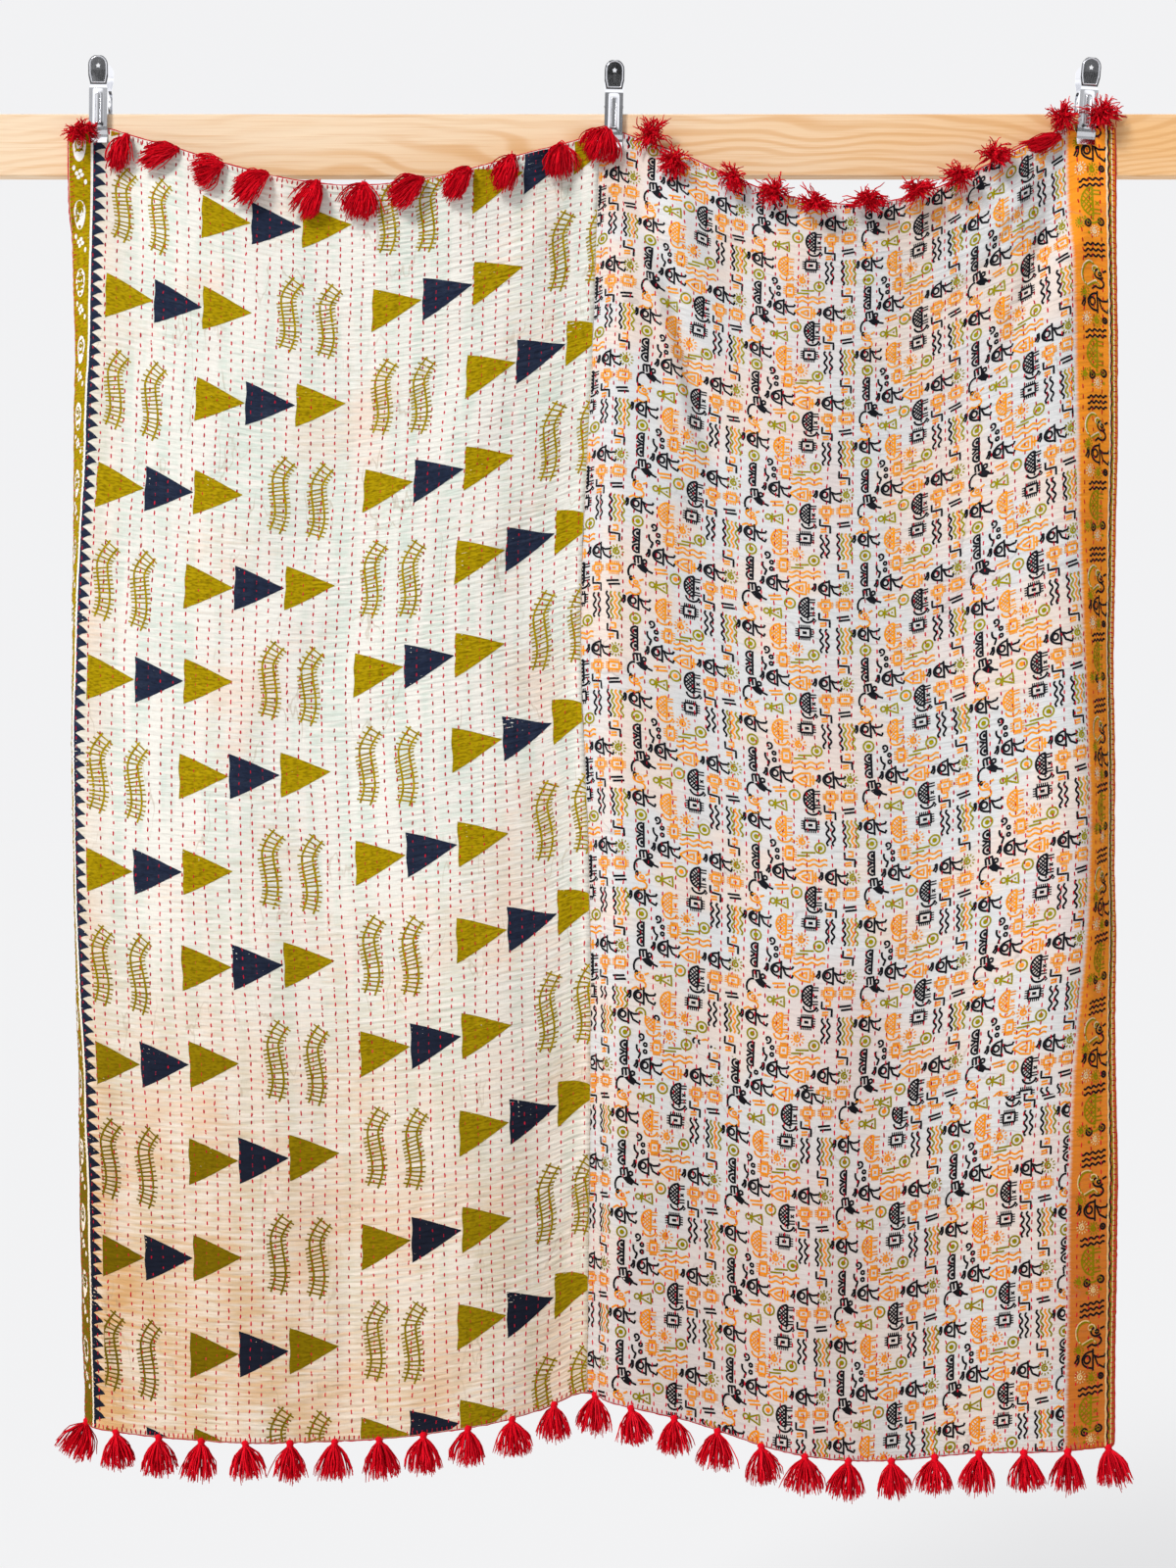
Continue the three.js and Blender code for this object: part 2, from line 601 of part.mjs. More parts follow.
// A top tassel: its head lies on the cloth's front at the edge, and its skirt fans over the cloth
function makeTopTassel(number, row, edge) {
  const { headRadius, headTop, shoulder, locks: count } = TASSEL;
  const locks = Array.from({ length: count }, (_, i) => {
    const fan = radians(row.spread) * ((2 * i) / (count - 1) - 1);
    const length = LOCK.topLength + LOCK.uneven * (i % 2);
    return tasselLock(fan, Math.PI / 2, length);
  });
  const name = `tassel_top_${String(number).padStart(2, "0")}`;
  const tassel = namedMesh(name, tasselGeometry(locks), MATERIALS.crimsonYarn);
  const { point, right, down, normal } = edge(row.across);
  const aim = radians(row.aim);
  const lift = radians(row.lift);
  const along = down.clone().multiplyScalar(Math.cos(aim)).addScaledVector(right, Math.sin(aim));
  const axis = along.clone().multiplyScalar(Math.cos(lift)).addScaledVector(normal, Math.sin(lift));
  const side = new THREE.Vector3().crossVectors(axis, normal).normalize();
  const facing = new THREE.Vector3().crossVectors(side, axis);
  tassel.quaternion.setFromRotationMatrix(new THREE.Matrix4().makeBasis(side, facing, axis.clone().negate()));
  const shoulderReach = headRadius * Math.cos(lift) - shoulder * Math.sin(lift);
  const stand = HALF_CLOTH + GAP + Math.max(headTop * Math.cos(lift), shoulderReach);
  tassel.position.copy(point).addScaledVector(normal, stand).addScaledVector(along, -shoulder);
  return tassel;
}

// The cloth's edge as the panels' own facets give it: straight runs between the grid lines
function facetedEdge(drop) {
  const lines = [...linesFrom(0, LEFT_SPANS), ...linesFrom(SEAM, RIGHT_SPANS).slice(1)];
  const level = hungLevel(drop);
  const points = lines.map((across) => level(across));
  return (across) => {
    const next = Math.min(lines.length - 1, Math.max(1, lines.findIndex((line) => line >= across)));
    const share = (across - lines[next - 1]) / (lines[next] - lines[next - 1]);
    return points[next - 1].clone().lerp(points[next], share);
  };
}

// A point of the top edge with the cloth's own directions there
function topEdgeFrame() {
  const reach = 12;
  const top = facetedEdge(0);
  const below = hungLevel(reach);
  return (across) => {
    const point = top(across);
    const right = top(Math.min(WIDTH, across + reach)).sub(top(Math.max(0, across - reach))).normalize();
    const slack = below(across).sub(point);
    const normal = slack.clone().cross(right).normalize();
    const down = new THREE.Vector3().crossVectors(right, normal).normalize();
    return { point, right, down, normal };
  };
}

// The whole object
const quilt = new THREE.Group();
quilt.add(makeRail());
quilt.add(makePanel("panel_left", 0, LEFT_SPANS, MATERIALS.creamCloth));
quilt.add(makePanel("panel_right", SEAM, RIGHT_SPANS, MATERIALS.greyCloth));
GRIPS.forEach((grip) => quilt.add(makeClip(grip)));

const topEdge = topEdgeFrame();
TOP_TASSELS.forEach((row, i) => quilt.add(makeTopTassel(i + 1, row, topEdge)));

const hemEdge = facetedEdge(QUILT.length);
for (let i = 0; i < HEM_TASSELS.count; i += 1) {
  const across = mix(HEM_TASSELS.inset, WIDTH - HEM_TASSELS.inset, i / (HEM_TASSELS.count - 1));
  quilt.add(makeHemTassel(i + 1, hemEdge, across));
}

export default quilt;
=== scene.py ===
"""A kantha quilt of two printed panels, hung by three steel clips from a pale wooden rail.

Sizes are millimetres until a mesh is made, which is in metres. X runs along the rail, +Y away from the
viewer, +Z up, and the origin is the middle of the rail's back face. A place on the cloth is (across, drop):
its distance from the left edge and from the top edge, measured on the flat cloth.
"""

from __future__ import annotations

import logging
from dataclasses import dataclass, replace
from enum import Enum
from functools import partial
from typing import Any, Callable, NamedTuple, Optional, Sequence, Union

import bpy
import numpy as np
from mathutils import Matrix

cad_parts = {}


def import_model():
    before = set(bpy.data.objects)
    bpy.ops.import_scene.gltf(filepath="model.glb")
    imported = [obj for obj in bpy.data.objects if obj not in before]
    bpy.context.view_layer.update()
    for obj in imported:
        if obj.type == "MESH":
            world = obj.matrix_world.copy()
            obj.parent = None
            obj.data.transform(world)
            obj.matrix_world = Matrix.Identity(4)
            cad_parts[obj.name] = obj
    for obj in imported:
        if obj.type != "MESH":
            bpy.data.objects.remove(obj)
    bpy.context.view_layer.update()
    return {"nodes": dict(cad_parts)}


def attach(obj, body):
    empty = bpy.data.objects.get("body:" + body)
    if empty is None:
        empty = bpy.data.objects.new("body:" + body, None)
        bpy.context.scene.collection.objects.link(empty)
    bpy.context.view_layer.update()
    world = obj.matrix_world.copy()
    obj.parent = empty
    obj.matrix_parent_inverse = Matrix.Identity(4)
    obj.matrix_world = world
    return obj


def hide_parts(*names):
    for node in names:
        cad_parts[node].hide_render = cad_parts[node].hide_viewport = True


MM = 0.001
BODY = "root"
BAKE_MAP = "OFBake"
CLOTH_MAP = "cloth"
ROW_MAP = "rows"
STRAND_MARK = "strand"
LOG = logging.getLogger("quilt")
Array = np.ndarray
Colour = tuple[float, float, float, float]
Pair = tuple[float, float]
Triple = tuple[float, float, float]
Material = bpy.types.Material
Piece = bpy.types.Object
Random = np.random.Generator


class Slot(Enum):
    """Names of the record's material slots, passed to seat with the added pieces, which does not use them."""

    CREAM = "cream_cloth"
    GREY = "grey_cloth"
    YARN = "tassel_yarn"
    STEEL = "clip_steel"


class Ink(Enum):
    """The dyes of the two prints."""

    OLIVE = "olive"
    NAVY = "navy"
    WHITE = "white"
    BLACK = "black"
    ORANGE = "orange"


class Level(NamedTuple):
    """Where the side edges and the seam hang at a drop: X of each, and the seam's depth."""

    drop: float
    left: float
    seam: float
    right: float
    seam_depth: float


class Grip(NamedTuple):
    """A clip's place across the cloth, the height of the cloth's edge there, and the clip's lip and lean."""

    name: str
    across: float
    height: float
    lip: float
    lean: float


class Swag(NamedTuple):
    """How the top edge sags and swells forward between two neighbouring grips."""

    start: int
    end: int
    sag: float
    swell: float
    sharpness: float


class Fold(NamedTuple):
    """An upright fold: its place, soft width, and turn away from the viewer in degrees at four levels."""

    across: float
    width: float
    top: float
    upper: float
    middle: float
    hem: float


class Drag(NamedTuple):
    """A fold or crease along a line on the cloth, with its soft width and its rise towards the viewer."""

    across: float
    drop: float
    end_across: float
    end_drop: float
    width: float
    rise: float


class TopTassel(NamedTuple):
    """A top tassel: its place along the edge, its rise above its seat, its half width, length and aim.

    The aim is in degrees to the right of straight down. A tassel without one has burst open all round.
    """

    across: float
    rise: float
    wide: float
    long: float
    aim: Optional[float] = None


@dataclass(frozen=True)
class QuiltSize:
    """Driving sizes of the quilt and of the rail that it hangs from."""

    left_width: float = 780.0
    right_width: float = 810.0
    length: float = 1862.0
    thickness: float = 3.0
    rail_height: float = 89.0
    rail_thickness: float = 20.0
    gap: float = 0.3
    clearance: float = 2.0

    @property
    def width(self) -> float:
        """Both panels together."""
        return self.left_width + self.right_width


SIZE = QuiltSize()
HALF = SIZE.thickness / 2

OUTLINE = (
    Level(0, -742, 17, 752, -26),
    Level(350, -738, 6, 756, -28),
    Level(740, -744, -10, 754, -24),
    Level(1080, -743, 1, 757, -14),
    Level(1360, -737, 4, 749, -6),
    Level(1862, -729, -1, 744, 6),
)
GRIPS = (
    Grip("left", 46, 24.5, 0.7, 0.5),
    Grip("middle", 801, 19, -6.3, 1.3),
    Grip("right", 1543, 33, -2.1, 3.9),
)
SWAGS = (Swag(0, 1, 93, 30, 1.25), Swag(1, 2, 126, 36, 1.32))
CORNER_DROOP = (4.0, 8.0)
SWELL_REACH = 230.0
HEM_ACROSS = (0, 160, 420, 620, 710, 780, 930, 1070, 1240, 1420, 1590)
HEM_HEIGHT = (-1834, -1846, -1848, -1826, -1811, -1790, -1816, -1855, -1874, -1857, -1851)
FOLD_LEVELS = (0, 420, 1000, 1480)
FOLDS = (
    Fold(14, 30, -20, -57, -87, -62),
    Fold(150, 110, -5, -7, -8, -9),
    Fold(350, 60, 3, 4, 5, 6),
    Fold(470, 60, -2, -3, -5, -5),
    Fold(690, 85, 6, 11, 13, 20),
    Fold(806, 27, -22, -42, -45, -60),
    Fold(930, 45, 6, 10, 4, 3),
    Fold(1060, 60, -4, -6, -6, -12),
    Fold(1210, 80, 4, 6, 6, 6),
    Fold(1400, 90, 0, -9, -13, -12),
    Fold(1548, 50, 12, 34, 62, 16),
)
DRAGS = (
    Drag(46, 25, 140, 230, 24, -8),
    Drag(60, 20, 300, 120, 30, 6),
    Drag(790, 20, 640, 200, 30, 7),
    Drag(815, 25, 905, 380, 24, -12),
    Drag(820, 15, 1000, 230, 28, 10),
    Drag(1530, 15, 1330, 150, 32, 9),
    Drag(1525, 30, 1390, 340, 32, -11),
    Drag(1540, 50, 1470, 430, 28, 8),
)
CREASES = (
    Drag(52, 30, 102, 96, 6, -5.0),
    Drag(66, 26, 150, 90, 8, 2.4),
    Drag(96, 88, 150, 210, 8, -2.2),
    Drag(826, 34, 880, 180, 11, -6.5),
    Drag(806, 32, 854, 190, 11, 4.0),
    Drag(874, 150, 992, 520, 17, -11.0),
    Drag(848, 150, 966, 520, 15, 7.0),
    Drag(84, 1350, 100, 1650, 9, -2.0),
    Drag(420, 1610, 412, 1850, 9, -2.2),
    Drag(408, 1640, 398, 1850, 9, 1.4),
    Drag(22, 800, 44, 1230, 8, -1.6),
    Drag(800, 640, 826, 1080, 9, -2.0),
    Drag(815, 500, 850, 980, 10, 1.6),
    Drag(1320, 80, 1470, 170, 10, -2.4),
    Drag(1500, 40, 1330, 190, 9, -3.4),
    Drag(1512, 46, 1400, 330, 9, -3.6),
    Drag(1490, 60, 1380, 300, 10, 2.4),
    Drag(1380, 170, 1515, 400, 11, -2.4),
    Drag(1360, 200, 1480, 420, 12, 1.8),
    Drag(1380, 1750, 1500, 1858, 10, -2.0),
    Drag(1440, 1560, 1470, 1700, 9, -1.6),
    Drag(230, 620, 300, 655, 8, -0.9),
    Drag(520, 1290, 610, 1262, 8, -0.9),
    Drag(1010, 1345, 1150, 1352, 8, -1.4),
    Drag(960, 300, 1010, 620, 12, -1.2),
    Drag(1180, 160, 1300, 420, 14, -1.4),
)
GRIP_ACROSS = 38.0
GRIP_DROP = 60.0
GRIP_SWING = 3.2
SAG_FADE = 3.0
RAIL_SHADOW_BELOW = 40.0
RAIL_SHADOW_SLOPE = 0.5

HEM_TASSELS = 25
HEM_INSET = 8.0
TOP_TASSELS = (
    TopTassel(22, 0, 29, 24),
    TopTassel(88, 4, 26, 44, -12),
    TopTassel(168, 5, 19, 54, -80),
    TopTassel(236, 3, 26, 44, -82),
    TopTassel(300, 7, 24, 50, -52),
    TopTassel(374, 8, 24, 48, -36),
    TopTassel(442, 8, 31, 46, -26),
    TopTassel(524, 6, 23, 50, -54),
    TopTassel(592, 5, 24, 48, -36),
    TopTassel(654, 7, 26, 46, -18),
    TopTassel(722, 7, 29, 44, 4),
    TopTassel(792, 9, 30, 44, -22),
    TopTassel(860, 16, 31, 33),
    TopTassel(905, -6, 30, 28),
    TopTassel(986, 6, 29, 26),
    TopTassel(1052, 7, 29, 27),
    TopTassel(1113, 4, 29, 26),
    TopTassel(1192, 13, 36, 22),
    TopTassel(1274, 13, 34, 23),
    TopTassel(1338, 10, 30, 27),
    TopTassel(1396, 15, 33, 30),
    TopTassel(1500, -4, 15, 54, -76),
    TopTassel(1512, 22, 30, 28),
    TopTassel(1564, 18, 35, 28),
)


def shade(red: int, green: int, blue: int) -> Colour:
    """A screen colour, 0 to 255 each, as the linear colour that a shader takes.

    Args:
        red, green, blue: the screen colour's parts.

    Returns:
        The shader's colour.
    """
    screen = np.array([red, green, blue]) / 255.0
    linear = np.where(screen <= 0.04045, screen / 12.92, ((screen + 0.055) / 1.055) ** 2.4)
    return (*linear.tolist(), 1.0)


def ease(share: Array) -> Array:
    """Smooth step: three times the square less twice the cube, on a share held between 0 and 1."""
    held = np.clip(share, 0.0, 1.0)
    return held**2 * (3 - 2 * held)


def curve_through(stops: Sequence[float], heights: Sequence[float], at: Array) -> Array:
    """A cubic curve through the stops, whose slope at each stop is that of the line between its neighbours.

    Args:
        stops: rising places of the known heights.
        heights: the height at each stop.
        at: places to read the curve at.

    Returns:
        The heights there.
    """
    x = np.asarray(stops, float)
    y = np.asarray(heights, float)
    number = np.arange(len(x))
    before = np.maximum(number - 1, 0)
    after = np.minimum(number + 1, len(x) - 1)
    slopes = (y[after] - y[before]) / (x[after] - x[before])
    end = np.clip(np.searchsorted(x, at), 1, len(x) - 1)
    start = end - 1
    span = x[end] - x[start]
    t = np.clip((at - x[start]) / span, 0.0, 1.0)
    bulge = slopes[start] * span * t * (1 - t) ** 2 + slopes[end] * span * t**2 * (t - 1)
    return y[start] + (y[end] - y[start]) * ease(t) + bulge


def unit(vectors: Array) -> Array:
    """Vectors scaled to length one."""
    return vectors / np.maximum(np.linalg.norm(vectors, axis=-1, keepdims=True), 1e-9)


def facing(grid: Array) -> Array:
    """Normals of a grid of points: the cross product of its downward and rightward differences."""
    return unit(np.cross(np.gradient(grid, axis=0), np.gradient(grid, axis=1)))


def bilinear(grid: Array, row: Array, column: Array) -> Array:
    """Values between a grid's points, each point weighted by its nearness along rows and columns.

    Args:
        grid: (rows, columns, k) values.
        row: places in rows.
        column: places in columns.

    Returns:
        The values there, with k as the last axis.
    """
    row = np.clip(row, 0.0, grid.shape[0] - 1 - 1e-6)
    column = np.clip(column, 0.0, grid.shape[1] - 1 - 1e-6)
    r = row.astype(int)
    c = column.astype(int)
    down = (row - r)[..., None]
    right = (column - c)[..., None]
    upper = grid[r, c] * (1 - right) + grid[r, c + 1] * right
    lower = grid[r + 1, c] * (1 - right) + grid[r + 1, c + 1] * right
    return upper * (1 - down) + lower * down


def ridges(lines: Sequence[Drag], across: Array, drop: Array, softer: float = 0.0) -> Array:
    """Height of soft ridges along lines: rise, times a half sine along the line, times a bell across it.

    Args:
        lines: the ridges, with a negative rise for a trough.
        across, drop: places on the cloth.
        softer: how much wider than usual the ridges are.

    Returns:
        The summed height towards the viewer.
    """
    total = np.zeros(np.broadcast(across, drop).shape)
    for line in lines:
        run_across = line.end_across - line.across
        run_drop = line.end_drop - line.drop
        along = (across - line.across) * run_across + (drop - line.drop) * run_drop
        t = np.clip(along / (run_across**2 + run_drop**2), 0.0, 1.0)
        off_across = across - line.across - t * run_across
        off_drop = drop - line.drop - t * run_drop
        bell = np.exp(-(off_across**2 + off_drop**2) / (line.width + softer) ** 2)
        total = total + line.rise * np.sin(np.pi * np.sqrt(t)) * bell
    return total


@dataclass(frozen=True)
class Drift:
    """A smooth random field: a sum of plane waves of random heading and phase, about so high either way."""

    number: int
    height: float
    across: float
    drop: float
    waves: int = 8

    def at(self, seed: int, across: Array, drop: Array) -> Array:
        """The field's values.

        Args:
            seed: the panel's seed, to which the field's own number is added.
            across, drop: places on the cloth.

        Returns:
            The value at each place.
        """
        rng = np.random.default_rng(seed + self.number)
        headings = rng.uniform(0.0, 2 * np.pi, self.waves)
        paces = rng.uniform(0.6, 1.5, self.waves) * 2 * np.pi
        phases = rng.uniform(0.0, 2 * np.pi, self.waves)
        total = np.zeros(np.broadcast(across, drop).shape)
        for heading, pace, phase in zip(headings, paces, phases):
            run = np.cos(heading) * across / self.across + np.sin(heading) * drop / self.drop
            total += np.sin(pace * run + phase)
        return self.height * (total / np.sqrt(self.waves))


class Drape:
    """The quilt's middle surface as it hangs, held on a fine lattice of (across, drop)."""

    STEP = 2.0
    LEVELS = 467

    def __init__(self) -> None:
        """Hangs the cloth."""
        self.across = np.arange(0.0, SIZE.width + self.STEP / 2, self.STEP)
        self.drop = np.linspace(0.0, SIZE.length, self.LEVELS)
        self.points = self._hang()
        self.normals = facing(self.points)

    def at(self, across: Array, drop: Array) -> tuple[Array, Array]:
        """Points and viewer-side normals of the middle surface.

        Args:
            across, drop: places on the cloth.

        Returns:
            The points and the normals.
        """
        column = np.asarray(across, float) / self.STEP
        row = np.asarray(drop, float) / SIZE.length * (self.LEVELS - 1)
        column, row = np.broadcast_arrays(column, row)
        return bilinear(self.points, row, column), unit(bilinear(self.normals, row, column))

    @staticmethod
    def top_height(across: Array) -> Array:
        """The top edge's height: lines between the grips less the swags, drooping at the corners.

        Args:
            across: places across the cloth.

        Returns:
            The heights there.
        """
        first = GRIPS[0]
        last = GRIPS[-1]
        height = np.interp(across, [grip.across for grip in GRIPS], [grip.height for grip in GRIPS])
        for swag in SWAGS:
            height = height - swag.sag * Drape.swag_profile(swag, across)
        past_left = np.clip(1 - across / first.across, 0.0, 1.0)
        past_right = np.clip((across - last.across) / (SIZE.width - last.across), 0.0, 1.0)
        return height - CORNER_DROOP[0] * past_left**2 - CORNER_DROOP[1] * past_right**2

    @staticmethod
    def swag_profile(swag: Swag, across: Array) -> Array:
        """A half sine between two grips, raised to the swag's sharpness.

        Args:
            swag: the swag.
            across: places across the cloth.

        Returns:
            0 to 1 at each place.
        """
        start = GRIPS[swag.start].across
        share = np.clip((across - start) / (GRIPS[swag.end].across - start), 0.0, 1.0)
        return np.maximum(np.sin(np.pi * share), 0.0) ** swag.sharpness

    @staticmethod
    def grip_hold(across: Array, drop: Array) -> Array:
        """How firmly a clip presses the cloth: 1 on a rounded patch at each grip, easing to 0 around it.

        Args:
            across, drop: places on the cloth.

        Returns:
            The hold there.
        """
        hold = np.zeros(np.broadcast(across, drop).shape)
        for grip in GRIPS:
            off = (((across - grip.across) / GRIP_ACROSS) ** 4 + (drop / GRIP_DROP) ** 4) ** 0.25
            hold = np.maximum(hold, 1 - ease((off - 1) / (GRIP_SWING - 1)))
        return hold

    def _hang(self) -> Array:
        """The lattice's points.

        Along each level the cloth turns by the sum of its folds' bell-shaped angles; the running sums of the
        turn's cosine and sine give its run along X, scaled to fit the outline, and its depth. Heights blend
        from the swagged top edge to the hem. Swags and drags push it forward, grips press it to the rail.

        Returns:
            (levels, columns, 3) points in millimetres.
        """
        across = self.across[None, :]
        drop = self.drop[:, None]
        middles = self.across[:-1] + self.STEP / 2
        turn = np.zeros((len(self.drop), len(middles)))
        for fold in FOLDS:
            angle = np.radians(curve_through(FOLD_LEVELS, fold[2:], self.drop))
            turn += angle[:, None] * np.exp(-(((middles - fold.across) / fold.width) ** 2))
        run = np.pad(np.cumsum(np.cos(turn), axis=1) * self.STEP, ((0, 0), (1, 0)))
        depth = np.pad(np.cumsum(np.sin(turn), axis=1) * self.STEP, ((0, 0), (1, 0)))
        seam_column = int(SIZE.left_width / self.STEP)
        run = run - run[:, seam_column, None]
        depth = depth - depth[:, seam_column, None]

        table = np.array(OUTLINE)
        left, seam, right, seam_depth = (
            curve_through(table[:, 0], table[:, column], self.drop)[:, None] for column in range(1, 5)
        )
        leftmost = run.min(axis=1, keepdims=True)
        x = seam + np.where(run < 0, run * (left - seam) / leftmost, run * (right - seam) / run[:, -1:])

        share = drop / SIZE.length
        sag = (1 - share) ** SAG_FADE
        top = GRIPS[0].height
        bottom = top - SIZE.length
        hem = curve_through(HEM_ACROSS, HEM_HEIGHT, across)
        level = top - SIZE.length * share
        z = level + (self.top_height(across) - top) * sag + (hem - bottom) * (1 - sag)

        fade = np.exp(-drop / SWELL_REACH)
        swell = sum(swag.swell * self.swag_profile(swag, across) for swag in SWAGS) * fade
        free = seam_depth + depth - swell - ridges(DRAGS, across, drop)
        front = -SIZE.rail_thickness
        pinned = front - SIZE.gap - HALF
        shadow_top = -SIZE.rail_height / 2 - RAIL_SHADOW_BELOW
        farthest = front - SIZE.clearance - HALF + np.maximum(0.0, shadow_top - z) * RAIL_SHADOW_SLOPE
        hold = self.grip_hold(across, drop)
        y = np.minimum(free, farthest) * (1 - hold) + pinned * hold
        return np.stack([x, y, z], axis=-1)


Link = Union["Field", float, tuple]


def joined(operation: str, reflected: bool = False) -> Callable[[Field, Link], Field]:
    """An operator that adds a Math node.

    Args:
        operation: the node's operation.
        reflected: whether the operator's sides change places.

    Returns:
        The operator.
    """

    def operate(field: Field, other: Link) -> Field:
        """The node's result."""
        sides = (other, field) if reflected else (field, other)
        return field.graph.math(operation, *sides)

    return operate


class Field:
    """A shader value. Python's operators on it add Math nodes to its graph."""

    def __init__(self, graph: Graph, socket: bpy.types.NodeSocket) -> None:
        """Wraps a socket."""
        self.graph = graph
        self.socket = socket

    __add__ = joined("ADD")
    __radd__ = joined("ADD", True)
    __sub__ = joined("SUBTRACT")
    __rsub__ = joined("SUBTRACT", True)
    __mul__ = joined("MULTIPLY")
    __rmul__ = joined("MULTIPLY", True)
    __truediv__ = joined("DIVIDE")
    __rtruediv__ = joined("DIVIDE", True)
    __lt__ = joined("LESS_THAN")
    __gt__ = joined("GREATER_THAN")

    def eased(self, low: float, high: float) -> Field:
        """A smooth step from 0 at low to 1 at high."""
        settings = {"interpolation_type": "SMOOTHSTEP"}
        return self.graph.node("ShaderNodeMapRange", settings, {0: self, 1: low, 2: high})


class Graph:
    """A material's nodes around one Principled shader."""

    def __init__(self, name: str, **constants: Any) -> None:
        """Starts a material.

        Args:
            name: the material's name.
            constants: shader sockets that are the same all over, with _ for a space in the name.
        """
        self.material = bpy.data.materials.new(name)
        self.material.use_nodes = True
        self.tree = self.material.node_tree
        self.shader = self.tree.nodes["Principled BSDF"]
        for socket, value in constants.items():
            self.shader.inputs[socket.replace("_", " ")].default_value = value

    def node(
        self, kind: str, settings: dict[str, Any], sockets: dict[Any, Link], out: Union[int, str] = 0
    ) -> Field:
        """Adds a node.

        Args:
            kind: the node's type.
            settings: its properties, set first.
            sockets: values or links of its inputs, by name or number.
            out: the output to return.

        Returns:
            The chosen output.
        """
        made = self.tree.nodes.new(kind)
        for key, value in settings.items():
            setattr(made, key, value)
        for key, value in sockets.items():
            self._feed(made.inputs[key], value)
        return Field(self, made.outputs[out])

    def _feed(self, socket: bpy.types.NodeSocket, value: Link) -> None:
        """Links a field to a socket, or sets a plain value on it.

        Args:
            socket: the socket.
            value: the field or the plain value.
        """
        if isinstance(value, Field):
            self.tree.links.new(value.socket, socket)
        else:
            socket.default_value = value

    def math(self, operation: str, first: Link, second: Link = 0.0) -> Field:
        """A Math node on one or two values."""
        return self.node("ShaderNodeMath", {"operation": operation}, {0: first, 1: second})

    def blend(self, share: Link, first: Link, second: Link) -> Field:
        """A colour between two, by share."""
        return self.node("ShaderNodeMix", {"data_type": "RGBA"}, {0: share, 6: first, 7: second}, 2)

    def places(self, map_name: str = "") -> Field:
        """The piece's own places: a named UV map, or Object coordinates.

        Args:
            map_name: the UV map's name, or none for Object coordinates.

        Returns:
            The places.
        """
        if map_name:
            return self.node("ShaderNodeUVMap", {"uv_map": map_name}, {})
        return self.node("ShaderNodeTexCoord", {}, {}, "Object")

    def part(self, places: Field, axis: str) -> Field:
        """One coordinate of a place."""
        return self.node("ShaderNodeSeparateXYZ", {}, {0: places}, axis)

    def noise(self, places: Field, stretch: Triple, detail: float = 3.0) -> Field:
        """Cloudy noise, 0 to 1, with so many clouds a metre along each axis."""
        scaled = self.node("ShaderNodeMapping", {}, {"Vector": places, "Scale": stretch})
        return self.node("ShaderNodeTexNoise", {}, {"Vector": scaled, "Scale": 1.0, "Detail": detail})

    def bump(self, height: Field, depth: float, strength: float = 1.0) -> None:
        """Raises the surface by a height field times a depth in metres."""
        sockets = {"Strength": strength, "Distance": depth, "Height": height}
        self.feed("Normal", self.node("ShaderNodeBump", {}, sockets))

    def feed(self, socket: str, value: Field) -> None:
        """Links a field to the shader."""
        self.tree.links.new(value.socket, self.shader.inputs[socket])


COTTON = {"Roughness": 0.92, "Specular_IOR_Level": 0.2}
WEAVE_RISE = 0.0004
PUCKER_RISE = 0.0026


def weave(graph: Graph) -> Field:
    """Slubs of a loose plain weave: noise drawn out along the weft plus noise drawn out along the warp.

    Args:
        graph: the material's graph.

    Returns:
        The weave's height, 0 to 1.
    """
    places = graph.places(CLOTH_MAP)
    weft = graph.noise(places, (90.0, 620.0, 1.0), 2.0)
    warp = graph.noise(places, (620.0, 110.0, 1.0), 2.0)
    return weft * 0.6 + warp * 0.4


def puckers(graph: Graph) -> Field:
    """Small level ripples that the quilting gathers into the cloth, each a few rows of stitches long."""
    return graph.noise(graph.places(CLOTH_MAP), (26.0, 150.0, 1.0), 1.5)


def hairlines(graph: Graph, stretch: Triple) -> Field:
    """Fine wandering creases, lying where slow noise crosses its middle and broken up by a second noise.

    Args:
        graph: the material's graph.
        stretch: the slow noise's clouds a metre.

    Returns:
        1 on a crease, and 0 away from it.
    """
    cloth = graph.places(CLOTH_MAP)
    near = graph.math("ABSOLUTE", graph.noise(cloth, stretch, 4.0) - 0.5)
    return near.eased(0.009, 0.0) * graph.noise(cloth, (7.0, 9.0, 1.0), 2.0).eased(0.48, 0.6)


def cotton(graph: Graph, colour: Field) -> Material:
    """Finishes a cloth's material: its colour, and a surface raised by its weave and ripples.

    Args:
        graph: the material's graph.
        colour: the cloth's colour.

    Returns:
        The material.
    """
    graph.feed("Base Color", colour)
    graph.bump(weave(graph) * WEAVE_RISE + puckers(graph) * PUCKER_RISE, 1.0)
    return graph.material


